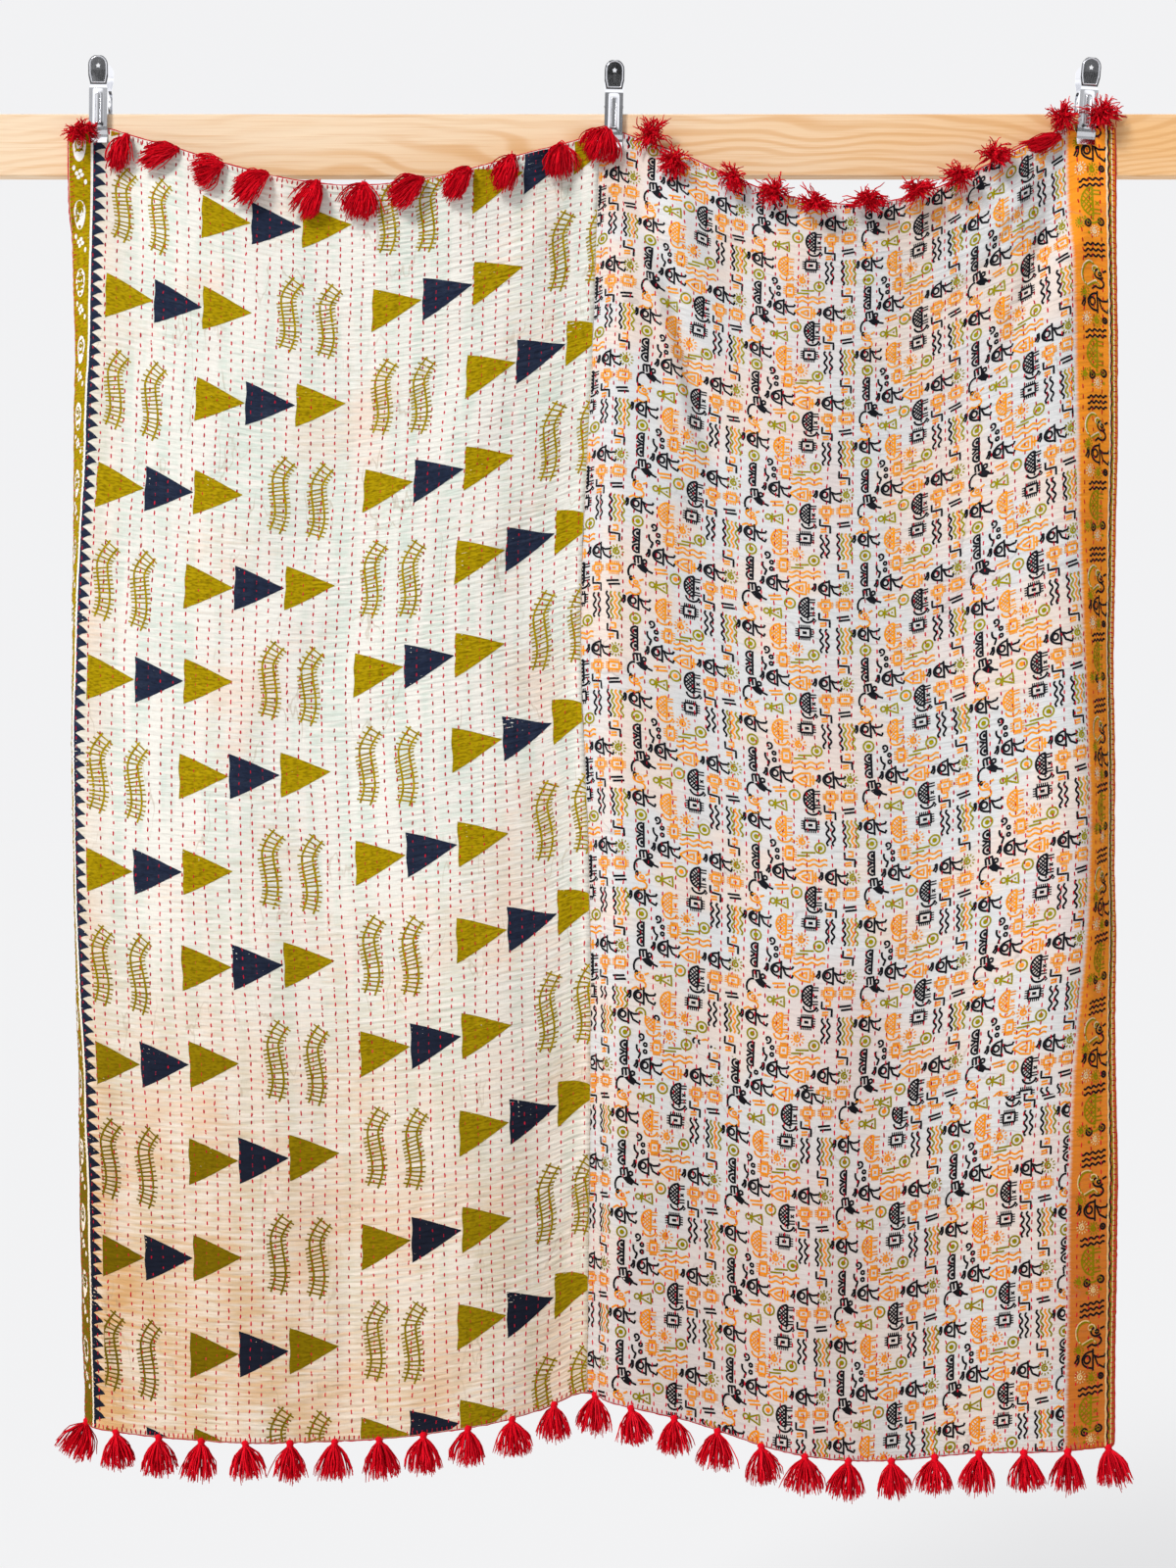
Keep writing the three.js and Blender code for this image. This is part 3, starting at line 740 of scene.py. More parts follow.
@dataclass(frozen=True)
class CreamCloth:
    """Undyed cotton with faint green and peach tints, browned by stains towards the lower left; darker
    streaks in the stain are partly painted shade of crinkles.
    """

    ground: Colour = shade(239, 237, 229)
    green: Colour = shade(212, 224, 213)
    peach: Colour = shade(242, 216, 196)
    stain: Colour = shade(210, 162, 108)
    shadow: Colour = shade(165, 140, 108)
    stain_top: float = -0.9
    stain_bottom: float = -1.7
    stain_right: float = 0.15
    stain_left: float = -0.72
    edge_inside: float = 0.12
    edge_outside: float = 0.05

    def material(self) -> Material:
        """Builds the material: strips crossed by lines tint it green, and clouds peach; stains go by place.

        Returns:
            The material.
        """
        graph = Graph("cream_cotton", **COTTON)
        cloth = graph.places(CLOTH_MAP)
        placed = graph.places()
        strips = graph.noise(cloth, (34.0, 3.5, 1.0), 3.0)
        lines = graph.noise(cloth, (16.0, 190.0, 1.0), 2.0)
        clouds = graph.noise(cloth, (5.0, 4.0, 1.0), 4.0)
        colour = graph.blend((strips.eased(0.4, 0.6) * lines.eased(0.34, 0.6)) * 0.9, self.ground, self.green)
        colour = graph.blend((clouds * 0.7 + lines * 0.3).eased(0.5, 0.66) * 0.6, colour, self.peach)
        low = graph.part(placed, "Z").eased(self.stain_top, self.stain_bottom)
        left = graph.part(placed, "X").eased(self.stain_right, self.stain_left)
        tone = graph.noise(cloth, (9.0, 7.0, 1.0), 5.0)
        edge = graph.part(cloth, "X").eased(self.edge_inside, self.edge_outside) * 0.35
        # streaks in the stain: partly real stain, partly painted shade of crinkles
        stain_and_crinkle_shade = 0.56 + 0.76 * (tone * 0.5 + lines * 0.5).eased(0.36, 0.64)
        amount = (low * (0.46 + 0.54 * left) + edge) * stain_and_crinkle_shade + 0.12 * clouds.eased(0.55, 0.75)
        colour = graph.blend(amount * 0.72, colour, self.stain)
        threads = weave(graph)
        colour = graph.blend((threads - 0.5) * 0.5 + 0.1, colour, self.shadow)
        colour = graph.blend(hairlines(graph, (13.0, 4.0, 1.0)) * 0.4, colour, self.shadow)
        return cotton(graph, colour)


@dataclass(frozen=True)
class GreyCloth:
    """Thin blue-grey cotton mottled with pink and beige, with a dyed orange border at the right edge."""

    ground: Colour = shade(217, 218, 218)
    beige: Colour = shade(231, 214, 202)
    pink: Colour = shade(223, 208, 204)
    dim: Colour = shade(182, 172, 163)
    border: Colour = shade(254, 152, 8)
    border_deep: Colour = shade(240, 126, 2)
    border_dim: Colour = shade(172, 84, 0)
    shadow: Colour = shade(135, 118, 110)
    border_edge: float = 1.515
    feather: float = 0.006
    dim_top: float = -1.0
    dim_bottom: float = -1.65

    def material(self) -> Material:
        """Builds the material: two noises mottle it, and a place across with noise on it dyes the border.

        Returns:
            The material.
        """
        graph = Graph("grey_cotton", **COTTON)
        cloth = graph.places(CLOTH_MAP)
        patches = graph.noise(cloth, (6.5, 7.5, 1.0), 3.0)
        washes = graph.noise(cloth, (3.1, 2.6, 1.0), 3.0)
        colour = graph.blend(patches.eased(0.46, 0.6) * 0.9, self.ground, self.beige)
        low = graph.part(graph.places(), "Z").eased(self.dim_top, self.dim_bottom)
        colour = graph.blend((washes + 0.05 * low).eased(0.5, 0.66) * 0.8, colour, self.pink)
        colour = graph.blend(low * 0.4 + washes.eased(0.55, 0.75) * 0.15, colour, self.dim)
        fingers = graph.noise(cloth, (60.0, 320.0, 1.0), 2.0)
        ramp = graph.part(cloth, "X") + (fingers - 0.5) * 0.009
        dyed = ramp.eased(self.border_edge - self.feather, self.border_edge + 0.4 * self.feather)
        tone = graph.noise(cloth, (14.0, 30.0, 1.0), 3.0)
        orange = graph.blend(tone.eased(0.45, 0.7) * 0.7, self.border, self.border_deep)
        orange = graph.blend(low * 0.8, orange, self.border_dim)
        colour = graph.blend(dyed, colour, orange)
        threads = weave(graph)
        colour = graph.blend((threads - 0.5) * 0.4 + 0.1, colour, self.shadow)
        colour = graph.blend(hairlines(graph, (6.0, 8.0, 1.0)) * 0.3, colour, self.shadow)
        return cotton(graph, colour)


@dataclass(frozen=True)
class Backing:
    """Plain washed cotton on the back, crossed by the red thread's short stitches."""

    ground: Colour = shade(226, 214, 196)
    worn: Colour = shade(214, 199, 177)
    thread: Colour = shade(176, 28, 44)
    half_row: float = 0.045
    dash: float = 0.42
    stagger: float = 0.618

    def material(self) -> Material:
        """Builds the material: a dash lies where the row's middle is near and the step along it is early.

        Returns:
            The material.
        """
        graph = Graph("backing_cotton", **COTTON)
        cloth = graph.places(CLOTH_MAP)
        clouds = graph.noise(cloth, (6.0, 5.0, 1.0), 4.0)
        colour = graph.blend(clouds.eased(0.4, 0.7), self.ground, self.worn)
        rows = graph.places(ROW_MAP)
        across = graph.part(rows, "X")
        off = graph.math("ABSOLUTE", graph.math("FRACT", across) - 0.5)
        shift = graph.math("FRACT", graph.math("FLOOR", across) * self.stagger)
        step = graph.math("FRACT", graph.part(rows, "Y") + shift)
        stitch = (off < self.half_row) * (step < self.dash)
        colour = graph.blend(stitch, colour, self.thread)
        return cotton(graph, colour)


@dataclass(frozen=True)
class Rim:
    """The raw edge of the layers, where scraps of the back cloth's colours show."""

    ground: Colour = shade(232, 222, 200)
    scraps: tuple[Colour, ...] = (shade(226, 140, 30), shade(142, 128, 30), shade(60, 58, 60))
    levels: Triple = (0.48, 0.56, 0.63)

    def material(self) -> Material:
        """Builds the material: hard-edged patches of noise along the edge.

        Returns:
            The material.
        """
        graph = Graph("layered_edge", **COTTON)
        patches = graph.noise(graph.places(CLOTH_MAP), (70.0, 40.0, 1.0), 2.0)
        colour: Link = self.ground
        for level, scrap in zip(self.levels, self.scraps):
            colour = graph.blend(patches > level, colour, scrap)
        return cotton(graph, colour)


@dataclass(frozen=True)
class InkFinish:
    """Dye printed into the cloth, paler where it took badly, and deeper towards the bottom and, for some
    inks, towards the left.
    """

    name: str
    colour: Colour
    faded: Colour
    deep: Colour
    wear: float = 0.5
    mottle: float = 0.42
    low_share: float = 0.85
    left_share: float = 0.0
    deep_top: float = -0.85
    deep_bottom: float = -1.6
    deep_right: float = 0.0
    deep_left: float = -0.7

    def material(self) -> Material:
        """Builds the material: clouds and specks fade it, streaks and the place on the cloth deepen it.

        Returns:
            The material.
        """
        graph = Graph(f"ink_{self.name}", Roughness=0.95, Specular_IOR_Level=0.05)
        cloth = graph.places(CLOTH_MAP)
        clouds = graph.noise(cloth, (28.0, 90.0, 1.0), 4.0)
        specks = graph.noise(cloth, (420.0, 420.0, 1.0), 2.0)
        share = clouds.eased(0.42, 0.75) * self.wear + specks.eased(0.55, 0.8) * 0.25
        low = graph.part(graph.places(), "Z").eased(self.deep_top, self.deep_bottom)
        left = graph.part(graph.places(), "X").eased(self.deep_right, self.deep_left)
        # darker towards the bottom, and towards the left as much as left_share gives
        low_deepening = low * (self.low_share + self.left_share * left)
        colour = graph.blend(low_deepening, graph.blend(share, self.colour, self.faded), self.deep)
        streaks = graph.noise(cloth, (130.0, 340.0, 1.0), 3.0)
        colour = graph.blend(streaks.eased(0.42, 0.66) * self.mottle, colour, self.deep)
        return cotton(graph, colour)


@dataclass(frozen=True)
class YarnFinish:
    """Soft spun cotton, each strand its own shade of red."""

    name: str
    bright: Colour
    deep: Colour
    pale: Colour

    def material(self) -> Material:
        """Builds the material: the strand's own number picks its shade, and fine noise gives the twist.

        Returns:
            The material.
        """
        graph = Graph(self.name, Roughness=0.85, Specular_IOR_Level=0.08)
        strand = graph.node("ShaderNodeAttribute", {"attribute_name": STRAND_MARK}, {}, "Fac")
        fibre = graph.noise(graph.places(), (900.0, 900.0, 500.0), 2.0)
        colour = graph.blend(strand.eased(0.0, 0.75), self.deep, self.bright)
        colour = graph.blend(strand.eased(0.78, 1.0) * fibre, colour, self.pale)
        graph.feed("Base Color", graph.blend(fibre.eased(0.35, 0.75) * 0.45, colour, self.deep))
        graph.bump(fibre, 0.0005, 0.6)
        return graph.material


@dataclass(frozen=True)
class SteelFinish:
    """Bright polished steel with fine drawn lines and finger smears."""

    colour: Colour = shade(214, 215, 219)
    roughness: float = 0.1

    def material(self) -> Material:
        """Builds the material: noise drawn out upwards for the lines, broad noise for the smears.

        Returns:
            The material.
        """
        graph = Graph("polished_steel", Metallic=1.0, Base_Color=self.colour)
        placed = graph.places()
        drawn = graph.noise(placed, (900.0, 900.0, 25.0), 2.0)
        smears = graph.noise(placed, (160.0, 160.0, 60.0), 3.0)
        graph.feed("Roughness", self.roughness + 0.06 * drawn + 0.05 * smears.eased(0.45, 0.75))
        graph.bump(drawn, 0.00004, 0.4)
        return graph.material


@dataclass(frozen=True)
class WoodFinish:
    """Planed pale softwood: fine straight grain along the board, with wandering darker rings."""

    pale: Colour = shade(240, 214, 182)
    warm: Colour = shade(232, 184, 128)
    ring: Colour = shade(214, 158, 96)
    ring_pace: float = 430.0
    warm_from: float = 0.1
    warm_to: float = 0.85

    def material(self) -> Material:
        """Builds the material: a sine of height plus slow noise for the rings, long noise for the grain.

        Returns:
            The material.
        """
        graph = Graph("pale_softwood", Roughness=0.5, Specular_IOR_Level=0.35)
        placed = graph.places()
        slow = graph.noise(placed, (2.2, 8.0, 8.0), 2.0)
        height = graph.part(placed, "Z") + graph.part(placed, "Y") * 0.6
        rings = graph.math("SINE", (height + slow * 0.16) * self.ring_pace)
        grain = graph.noise(placed, (9.0, 520.0, 520.0), 4.0)
        tone = graph.noise(placed, (1.6, 12.0, 12.0), 3.0)
        right = graph.part(placed, "X").eased(self.warm_from, self.warm_to)
        colour = graph.blend((tone.eased(0.35, 0.7) * 0.5 + right * 0.5), self.pale, self.warm)
        colour = graph.blend(rings.eased(-0.4, 1.0) * tone.eased(0.3, 0.65) * 0.6, colour, self.ring)
        colour = graph.blend(grain.eased(0.48, 0.74) * 0.42, colour, self.ring)
        graph.feed("Base Color", colour)
        graph.feed("Roughness", 0.46 + grain * 0.12)
        graph.bump(grain + rings * 0.2, 0.0004, 0.5)
        return graph.material


@dataclass(frozen=True)
class PaintFinish:
    """An even pale floor that glows softly, so that shadows on it stay faint."""

    share: float
    glow: float

    def material(self) -> Material:
        """Builds the material.

        Returns:
            The material.
        """
        tint = (0.985, 0.987, 1.0, 1.0)
        base = (self.share, self.share, self.share, 1.0)
        constants = {"Roughness": 1.0, "Specular_IOR_Level": 0.0, "Emission_Strength": self.glow}
        return Graph("pale_floor", Base_Color=base, Emission_Color=tint, **constants).material


def make_piece(
    name: str,
    points: Array,
    faces: Sequence[Array],
    materials: Sequence[Material],
    maps: Optional[dict[str, Array]] = None,
    marks: Optional[dict[str, Array]] = None,
    worn: Optional[Array] = None,
) -> Piece:
    """Makes a smooth-shaded mesh at the origin.

    Args:
        name: the piece's name.
        points: (n, 3) places in millimetres.
        faces: arrays of triangles or quads.
        materials: the piece's materials.
        maps: UV maps, with a place for each point or for each corner.
        marks: numbers for each point.
        worn: the material's number for each face.

    Returns:
        The new object.
    """
    corners = np.concatenate([part.ravel() for part in faces]).astype(np.int32)
    counts = np.concatenate([np.full(len(part), part.shape[1]) for part in faces])
    starts = np.concatenate([[0], np.cumsum(counts)[:-1]]).astype(np.int32)
    mesh = bpy.data.meshes.new(name)
    mesh.vertices.add(len(points))
    mesh.vertices.foreach_set("co", (np.asarray(points) * MM).astype(np.float32).ravel())
    mesh.loops.add(len(corners))
    mesh.loops.foreach_set("vertex_index", corners)
    mesh.polygons.add(len(starts))
    mesh.polygons.foreach_set("loop_start", starts)
    if worn is not None:
        mesh.polygons.foreach_set("material_index", np.asarray(worn, np.int32))
    mesh.update(calc_edges=True)
    for map_name, places in (maps or {}).items():
        layer = mesh.uv_layers.new(name=map_name, do_init=False)
        spread = places[corners] if len(places) == len(points) else places
        layer.uv.foreach_set("vector", spread.astype(np.float32).ravel())
    for mark, values in (marks or {}).items():
        attribute = mesh.attributes.new(mark, "FLOAT", "POINT")
        attribute.data.foreach_set("value", np.asarray(values, np.float32))
    mesh.shade_smooth()
    for material in materials:
        mesh.materials.append(material)
    made = bpy.data.objects.new(name, mesh)
    bpy.context.scene.collection.objects.link(made)
    return made


def seat(made: Piece, slot: Slot, replaced: Sequence[str] = ()) -> Piece:
    """Lets a piece ride on the part, hides the nodes that it stands for, and reports its triangles.

    Args:
        made: the piece.
        slot: the record's material slot; not used.
        replaced: the nodes that it replaces.

    Returns:
        The piece.
    """
    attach(made, BODY)
    if replaced:
        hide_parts(*replaced)
    triangles = sum(len(face.vertices) - 2 for face in made.data.polygons)
    LOG.info("%s: %d triangles", made.name, triangles)
    return made


def faces_of(*corners: Array) -> Array:
    """Faces from the matching numbers of their corners."""
    return np.stack([corner.ravel() for corner in corners], axis=1)


def grid_quads(rows: int, columns: int) -> Array:
    """Quads of a grid of points, wound so that a grid read right and down faces the viewer."""
    number = np.arange(rows * columns).reshape(rows, columns)
    return faces_of(number[:-1, :-1], number[1:, :-1], number[1:, 1:], number[:-1, 1:])


def merged(shapes: Sequence[tuple[Array, Array]]) -> tuple[Array, Array]:
    """Many shapes, each of points and faces, as one.

    Args:
        shapes: points and faces of each.

    Returns:
        All points and all faces.
    """
    starts = np.cumsum([0] + [len(points) for points, _ in shapes])
    faces = [shape_faces + start for (_, shape_faces), start in zip(shapes, starts)]
    return np.concatenate([points for points, _ in shapes]), np.concatenate(faces)


@dataclass
class Panel:
    """One panel: a closed sheet with the quilting pressed and puckered into its faces.

    Its columns follow the wandering rows of stitches, two to a row: one on the row and one midway.
    """

    name: str
    start: float
    width: float
    drape: Drape
    stitch_rows: int
    levels: int
    ripple: float
    seed: int

    BACK_ROW_STEP = 6
    BACK_COLUMN_STEP = 2
    BACK_SOFTER = 8.0
    STITCH_PITCH = 13.0
    THINNEST = 0.8
    BELOW_RAIL = 6.0
    CALM_EDGE = 50.0
    RIPPLE_LENGTH = 7.8
    SEWN_DEPTH = 0.5
    SEWN_WIDTH = 6.0
    BAKE_HALF = 0.485
    CHANNEL_DEPTH = 0.34
    FLATTEST_PUFF = -0.4

    SHARED_STRAY = Drift(0, 4.5, 420.0, 760.0)
    OWN_STRAY = Drift(1, 1.3, 46.0, 240.0)
    FULLNESS = Drift(2, 0.45, 90.0, 60.0)
    WIDE_SLIP = Drift(3, 2.6, 80.0, 60.0)
    FINE_SLIP = Drift(4, 1.2, 26.0, 60.0)
    RIPPLING = Drift(5, 0.6, 120.0, 110.0)
    LUMPS = Drift(6, 0.22, 30.0, 26.0, 12)
    RUMPLES = Drift(7, 0.9, 150.0, 210.0, 10)
    PUFFS = Drift(8, 0.5, 34.0, 24.0)

    def __post_init__(self) -> None:
        """Works out the front's lattice."""
        self.pitch = self.width / self.stitch_rows
        self.columns = 2 * self.stitch_rows
        even = np.linspace(self.start, self.start + self.width, self.columns + 1)
        self.even, self.drops = np.meshgrid(even, np.linspace(0.0, SIZE.length, self.levels + 1))
        self.across = self.even + self.wander(self.even, self.drops)
        middle, normal = self.drape.at(self.across, self.drops)
        front = middle + normal * (HALF + self.relief(self.even, self.drops))[..., None]
        self.front = self.before_rail(front, SIZE.gap + self.THINNEST)
        self.normals = facing(self.front)

    def near_edge(self, even: Array) -> Array:
        """Distance from the nearer of the panel's own side edges."""
        return np.minimum(even - self.start, self.start + self.width - even)

    def wander(self, even: Array, drop: Array) -> Array:
        """How far a hand-sewn row strays sideways: two drifts, held at nought along the panel's own edges.

        Args:
            even, drop: places on the cloth, as if its rows were straight.

        Returns:
            The stray at each.
        """
        shared = self.SHARED_STRAY.at(self.seed, even, drop)
        own = self.OWN_STRAY.at(self.seed, even, drop)
        return (shared + own) * np.clip(self.near_edge(even) / self.CALM_EDGE, 0.0, 1.0)

    def relief(self, even: Array, drop: Array) -> Array:
        """Height of the front: a cosine across the rows, ripples down them, and what both faces share.

        Args:
            even, drop: places on the cloth, as if its rows were straight.

        Returns:
            The height above the even face.
        """
        fullness = 1 + self.FULLNESS.at(self.seed, even, drop)
        channel = self.CHANNEL_DEPTH * np.cos(2 * np.pi * (even - self.start) / self.pitch) * fullness
        slip = self.WIDE_SLIP.at(self.seed, even, drop) + self.FINE_SLIP.at(self.seed, even, drop)
        strength = self.ripple * (1 + self.RIPPLING.at(self.seed, even, drop))
        ripple = strength * np.sin(2 * np.pi * (drop + slip) / self.RIPPLE_LENGTH)
        lumps = self.LUMPS.at(self.seed, even, drop)
        sewn = -self.SEWN_DEPTH * np.exp(-((self.near_edge(even) / self.SEWN_WIDTH) ** 2))
        loose = 1 - Drape.grip_hold(even, drop)
        return (channel + ripple + lumps + sewn) * loose + self.bent(even, drop)

    def bent(self, even: Array, drop: Array, softer: float = 0.0) -> Array:
        """Height that both faces share: slow rumples plus the creases, none of it under the clips."""
        rumple = self.RUMPLES.at(self.seed, even, drop)
        return (rumple + ridges(CREASES, even, drop, softer)) * (1 - Drape.grip_hold(even, drop))

    @staticmethod
    def before_rail(points: Array, space: float) -> Array:
        """Points kept a space away from the rail's face wherever the rail is behind them.

        Args:
            points: (..., 3) points.
            space: the least distance.

        Returns:
            The points.
        """
        beside = points[..., 2] > -SIZE.rail_height / 2 - Panel.BELOW_RAIL
        nearest = np.where(beside, -SIZE.rail_thickness - space, np.inf)
        return np.stack([points[..., 0], np.minimum(points[..., 1], nearest), points[..., 2]], axis=-1)

    def place(self, across: Array, drop: Array, lift: Union[float, Array]) -> Array:
        """Points above the panel's front, found between the points of its lattice.

        Args:
            across, drop: places on the cloth.
            lift: height above the face.

        Returns:
            The points.
        """
        across, drop = np.broadcast_arrays(np.asarray(across, float), np.asarray(drop, float))
        even = across
        for _ in range(3):
            even = across - self.wander(even, drop)
        row = drop / SIZE.length * self.levels
        column = (even - self.start) / self.width * self.columns
        normal = unit(bilinear(self.normals, row, column))
        return bilinear(self.front, row, column) + normal * np.broadcast_to(lift, across.shape)[..., None]

    def bake_places(self, across: Array, drop: Array) -> Array:
        """Places of print on this panel in a square map, one for each point of the cloth."""
        return np.stack([(across - self.start) / self.width, 1 - drop / SIZE.length], axis=-1)

    def build(self, materials: Sequence[Material]) -> Piece:
        """Makes the closed sheet: a fine front grid, a coarser back grid and a rim of triangles between.

        Args:
            materials: those of the front, the back and the rim.

        Returns:
            The panel's object.
        """
        coarse = (slice(None, None, self.BACK_ROW_STEP), slice(None, None, self.BACK_COLUMN_STEP))
        across, drops, even = (values[coarse] for values in (self.across, self.drops, self.even))
        middle, normal = self.drape.at(across, drops)
        puffs = self.PUFFS.at(self.seed, across, drops) * (1 - Drape.grip_hold(across, drops))
        lean = np.minimum(self.bent(even, drops), self.bent(even, drops, self.BACK_SOFTER))
        depth = HALF + np.maximum(puffs, self.FLATTEST_PUFF) - lean
        back = self.before_rail(middle - normal * depth[..., None], SIZE.gap)
        points = np.concatenate([self.front.reshape(-1, 3), back.reshape(-1, 3)])

        front_faces = grid_quads(*self.across.shape)
        back_faces = grid_quads(*across.shape)[:, ::-1] + self.across.size
        faces = [front_faces, back_faces, self._rim(across.shape)]
        worn = np.repeat([0, 1, 2], [len(part) for part in faces])

        both = ((self.across, self.drops), (across, drops))
        flat = np.concatenate([np.stack(face, axis=-1).reshape(-1, 2) for face in both])
        row = (np.concatenate([self.even.ravel(), even.ravel()]) - self.start) / self.pitch
        sewn = np.stack([row, flat[:, 1] / self.STITCH_PITCH], axis=-1)
        maps = {BAKE_MAP: self._bake_corners(flat, faces), CLOTH_MAP: flat * MM, ROW_MAP: sewn}
        return make_piece(self.name, points, faces, materials, maps, worn=worn)

    def _bake_corners(self, flat: Array, faces: Sequence[Array]) -> Array:
        """A square map for each corner: front on the left half, back on the right, rim in a strip between.

        Args:
            flat: each point's place on the flat cloth.
            faces: front, back and rim faces.

        Returns:
            (corners, 2) places in the square.
        """
        front_count = self.across.size
        spread = self.bake_places(flat[:, 0], flat[:, 1])
        spread[:, 0] *= self.BAKE_HALF
        spread[front_count:, 0] += 1 - self.BAKE_HALF
        rim = faces[2]
        corner = np.concatenate([spread[part].reshape(-1, 2) for part in faces[:2]])
        step = np.arange(len(rim))[:, None] / len(rim) + np.array([0.0, 0.5, 1.0]) / len(rim)
        strip = np.stack([np.where(rim >= front_count, 0.505, 0.495), step], axis=-1)
        return np.concatenate([corner, strip.reshape(-1, 2)])

    def _rim(self, back_shape: tuple[int, int]) -> Array:
        """Triangles from the fine front edge to the coarse back edge, each back point serving its half steps.

        Args:
            back_shape: back points down and across.

        Returns:
            (n, 3) triangles.
        """
        down, right = back_shape
        fine = self._edge_loop(np.arange(self.across.size).reshape(self.across.shape))
        rough = self._edge_loop(np.arange(down * right).reshape(back_shape) + self.across.size)
        steps = [self.BACK_ROW_STEP, self.BACK_COLUMN_STEP] * 2
        match = np.concatenate([[0], np.cumsum(np.repeat(steps, [down - 1, right - 1] * 2))])
        middle = (match[:-1] + match[1:]) // 2
        number = np.arange(len(fine))
        own = np.searchsorted(match, number, side="right") - 1
        near = np.where(number < middle[own], own, own + 1) % len(rough)
        first = faces_of(np.roll(fine, -1), fine, rough[near])
        second = faces_of(rough, np.roll(rough, -1), fine[middle])
        return np.concatenate([first, second])

    @staticmethod
    def _edge_loop(number: Array) -> Array:
        """A grid's edge points: down its left, along its bottom, up its right and back along its top."""
        return np.concatenate([number[:-1, 0], number[-1, :-1], number[:0:-1, -1], number[0, :0:-1]])


class Quilt:
    """The two panels, sewn edge to edge."""

    def __init__(self, drape: Drape) -> None:
        """Lays out the panels, parted by a hair at the seam.

        Args:
            drape: how the cloth hangs.
        """
        hair = SIZE.gap / 2
        seam = SIZE.left_width
        right_width = SIZE.right_width - hair
        left = {"stitch_rows": 45, "levels": 930, "ripple": 0.38, "seed": 11}
        right = {"stitch_rows": 46, "levels": 744, "ripple": 0.17, "seed": 41}
        self.left = Panel("panel_left_quilted", 0.0, seam - hair, drape, **left)
        self.right = Panel("panel_right_quilted", seam + hair, right_width, drape, **right)

    def place(self, across: Array, drop: Array, lift: Union[float, Array]) -> Array:
        """Points lifted so far above whichever panel lies there."""
        sides = [panel.place(across, drop, lift) for panel in (self.left, self.right)]
        return np.where((np.asarray(across) < SIZE.left_width)[..., None], *sides)


LOZENGE_FACES = np.array([
    [0, 1, 2], [0, 2, 3], [1, 4, 5], [1, 5, 2], [2, 5, 6], [2, 6, 3], [4, 7, 5], [5, 7, 6],
])
LOZENGE_ALONG = np.array([-0.5, -0.27, -0.27, -0.27, 0.27, 0.27, 0.27, 0.5])
LOZENGE_ASIDE = np.array([0.0, -0.5, 0.0, 0.5, -0.5, 0.0, 0.5, 0.0])
LOZENGE_LIFT = np.array([0.0, 0.15, 1.0, 0.15, 0.15, 1.0, 0.15, 0.0])


def lozenges(count: int) -> Array:
    """Faces of many raised stitches, eight points and eight triangles each."""
    return (LOZENGE_FACES[None] + 8 * np.arange(count)[:, None, None]).reshape(-1, 3)


@dataclass(frozen=True)
class RunningStitch:
    """Rows of short raised stitches down one panel."""

    panel: Panel
    name: str
    seed: int
    material: Material
    length: float = 6.9
    width: float = 2.1
    height: float = 0.75
    slowest: float = 0.85
    row_paces: Pair = (0.92, 1.08)
    uneven: float = 0.09
    head_start: float = 12.0
    stray: float = 0.35
    lean: float = 0.09
    lengths: Pair = (3.8, 9.0)
    top_margin: float = 5.0
    hem_margin: float = 6.0
    missed: float = 0.012

    def build(self) -> Piece:
        """Makes every stitch of the panel as a small ridge along its row.

        Returns:
            The stitches as one piece.
        """
        panel = self.panel
        rng = np.random.default_rng(self.seed)
        per_row = int(SIZE.length / (panel.STITCH_PITCH * self.slowest))
        shape = (panel.stitch_rows, per_row)
        row_pace = rng.uniform(*self.row_paces, (panel.stitch_rows, 1))
        steps = panel.STITCH_PITCH * row_pace * rng.normal(1.0, self.uneven, shape)
        drop = np.cumsum(steps, axis=1) - rng.uniform(0.0, self.head_start, (panel.stitch_rows, 1))
        row = np.arange(panel.stitch_rows)[:, None] + 0.5
        even = panel.start + panel.pitch * row + rng.normal(0, self.stray, shape)
        length = np.clip(rng.normal(self.length, 1.0, shape), *self.lengths)
        lean = rng.normal(0.0, self.lean, shape)
        kept = (drop > self.top_margin) & (drop < SIZE.length - self.hem_margin)
        kept &= rng.random(shape) > self.missed
        drop, even, length, lean = (values[kept][:, None] for values in (drop, even, length, lean))
        across = even + panel.wander(even, drop)
        run = LOZENGE_ALONG * length
        stray = across + LOZENGE_ASIDE * self.width + run * lean
        points = panel.place(stray, drop + run, LOZENGE_LIFT * self.height)
        tone = np.repeat(rng.random(len(drop)), 8)
        faces = [lozenges(len(drop))]
        return make_piece(self.name, points.reshape(-1, 3), faces, [self.material], marks={STRAND_MARK: tone})


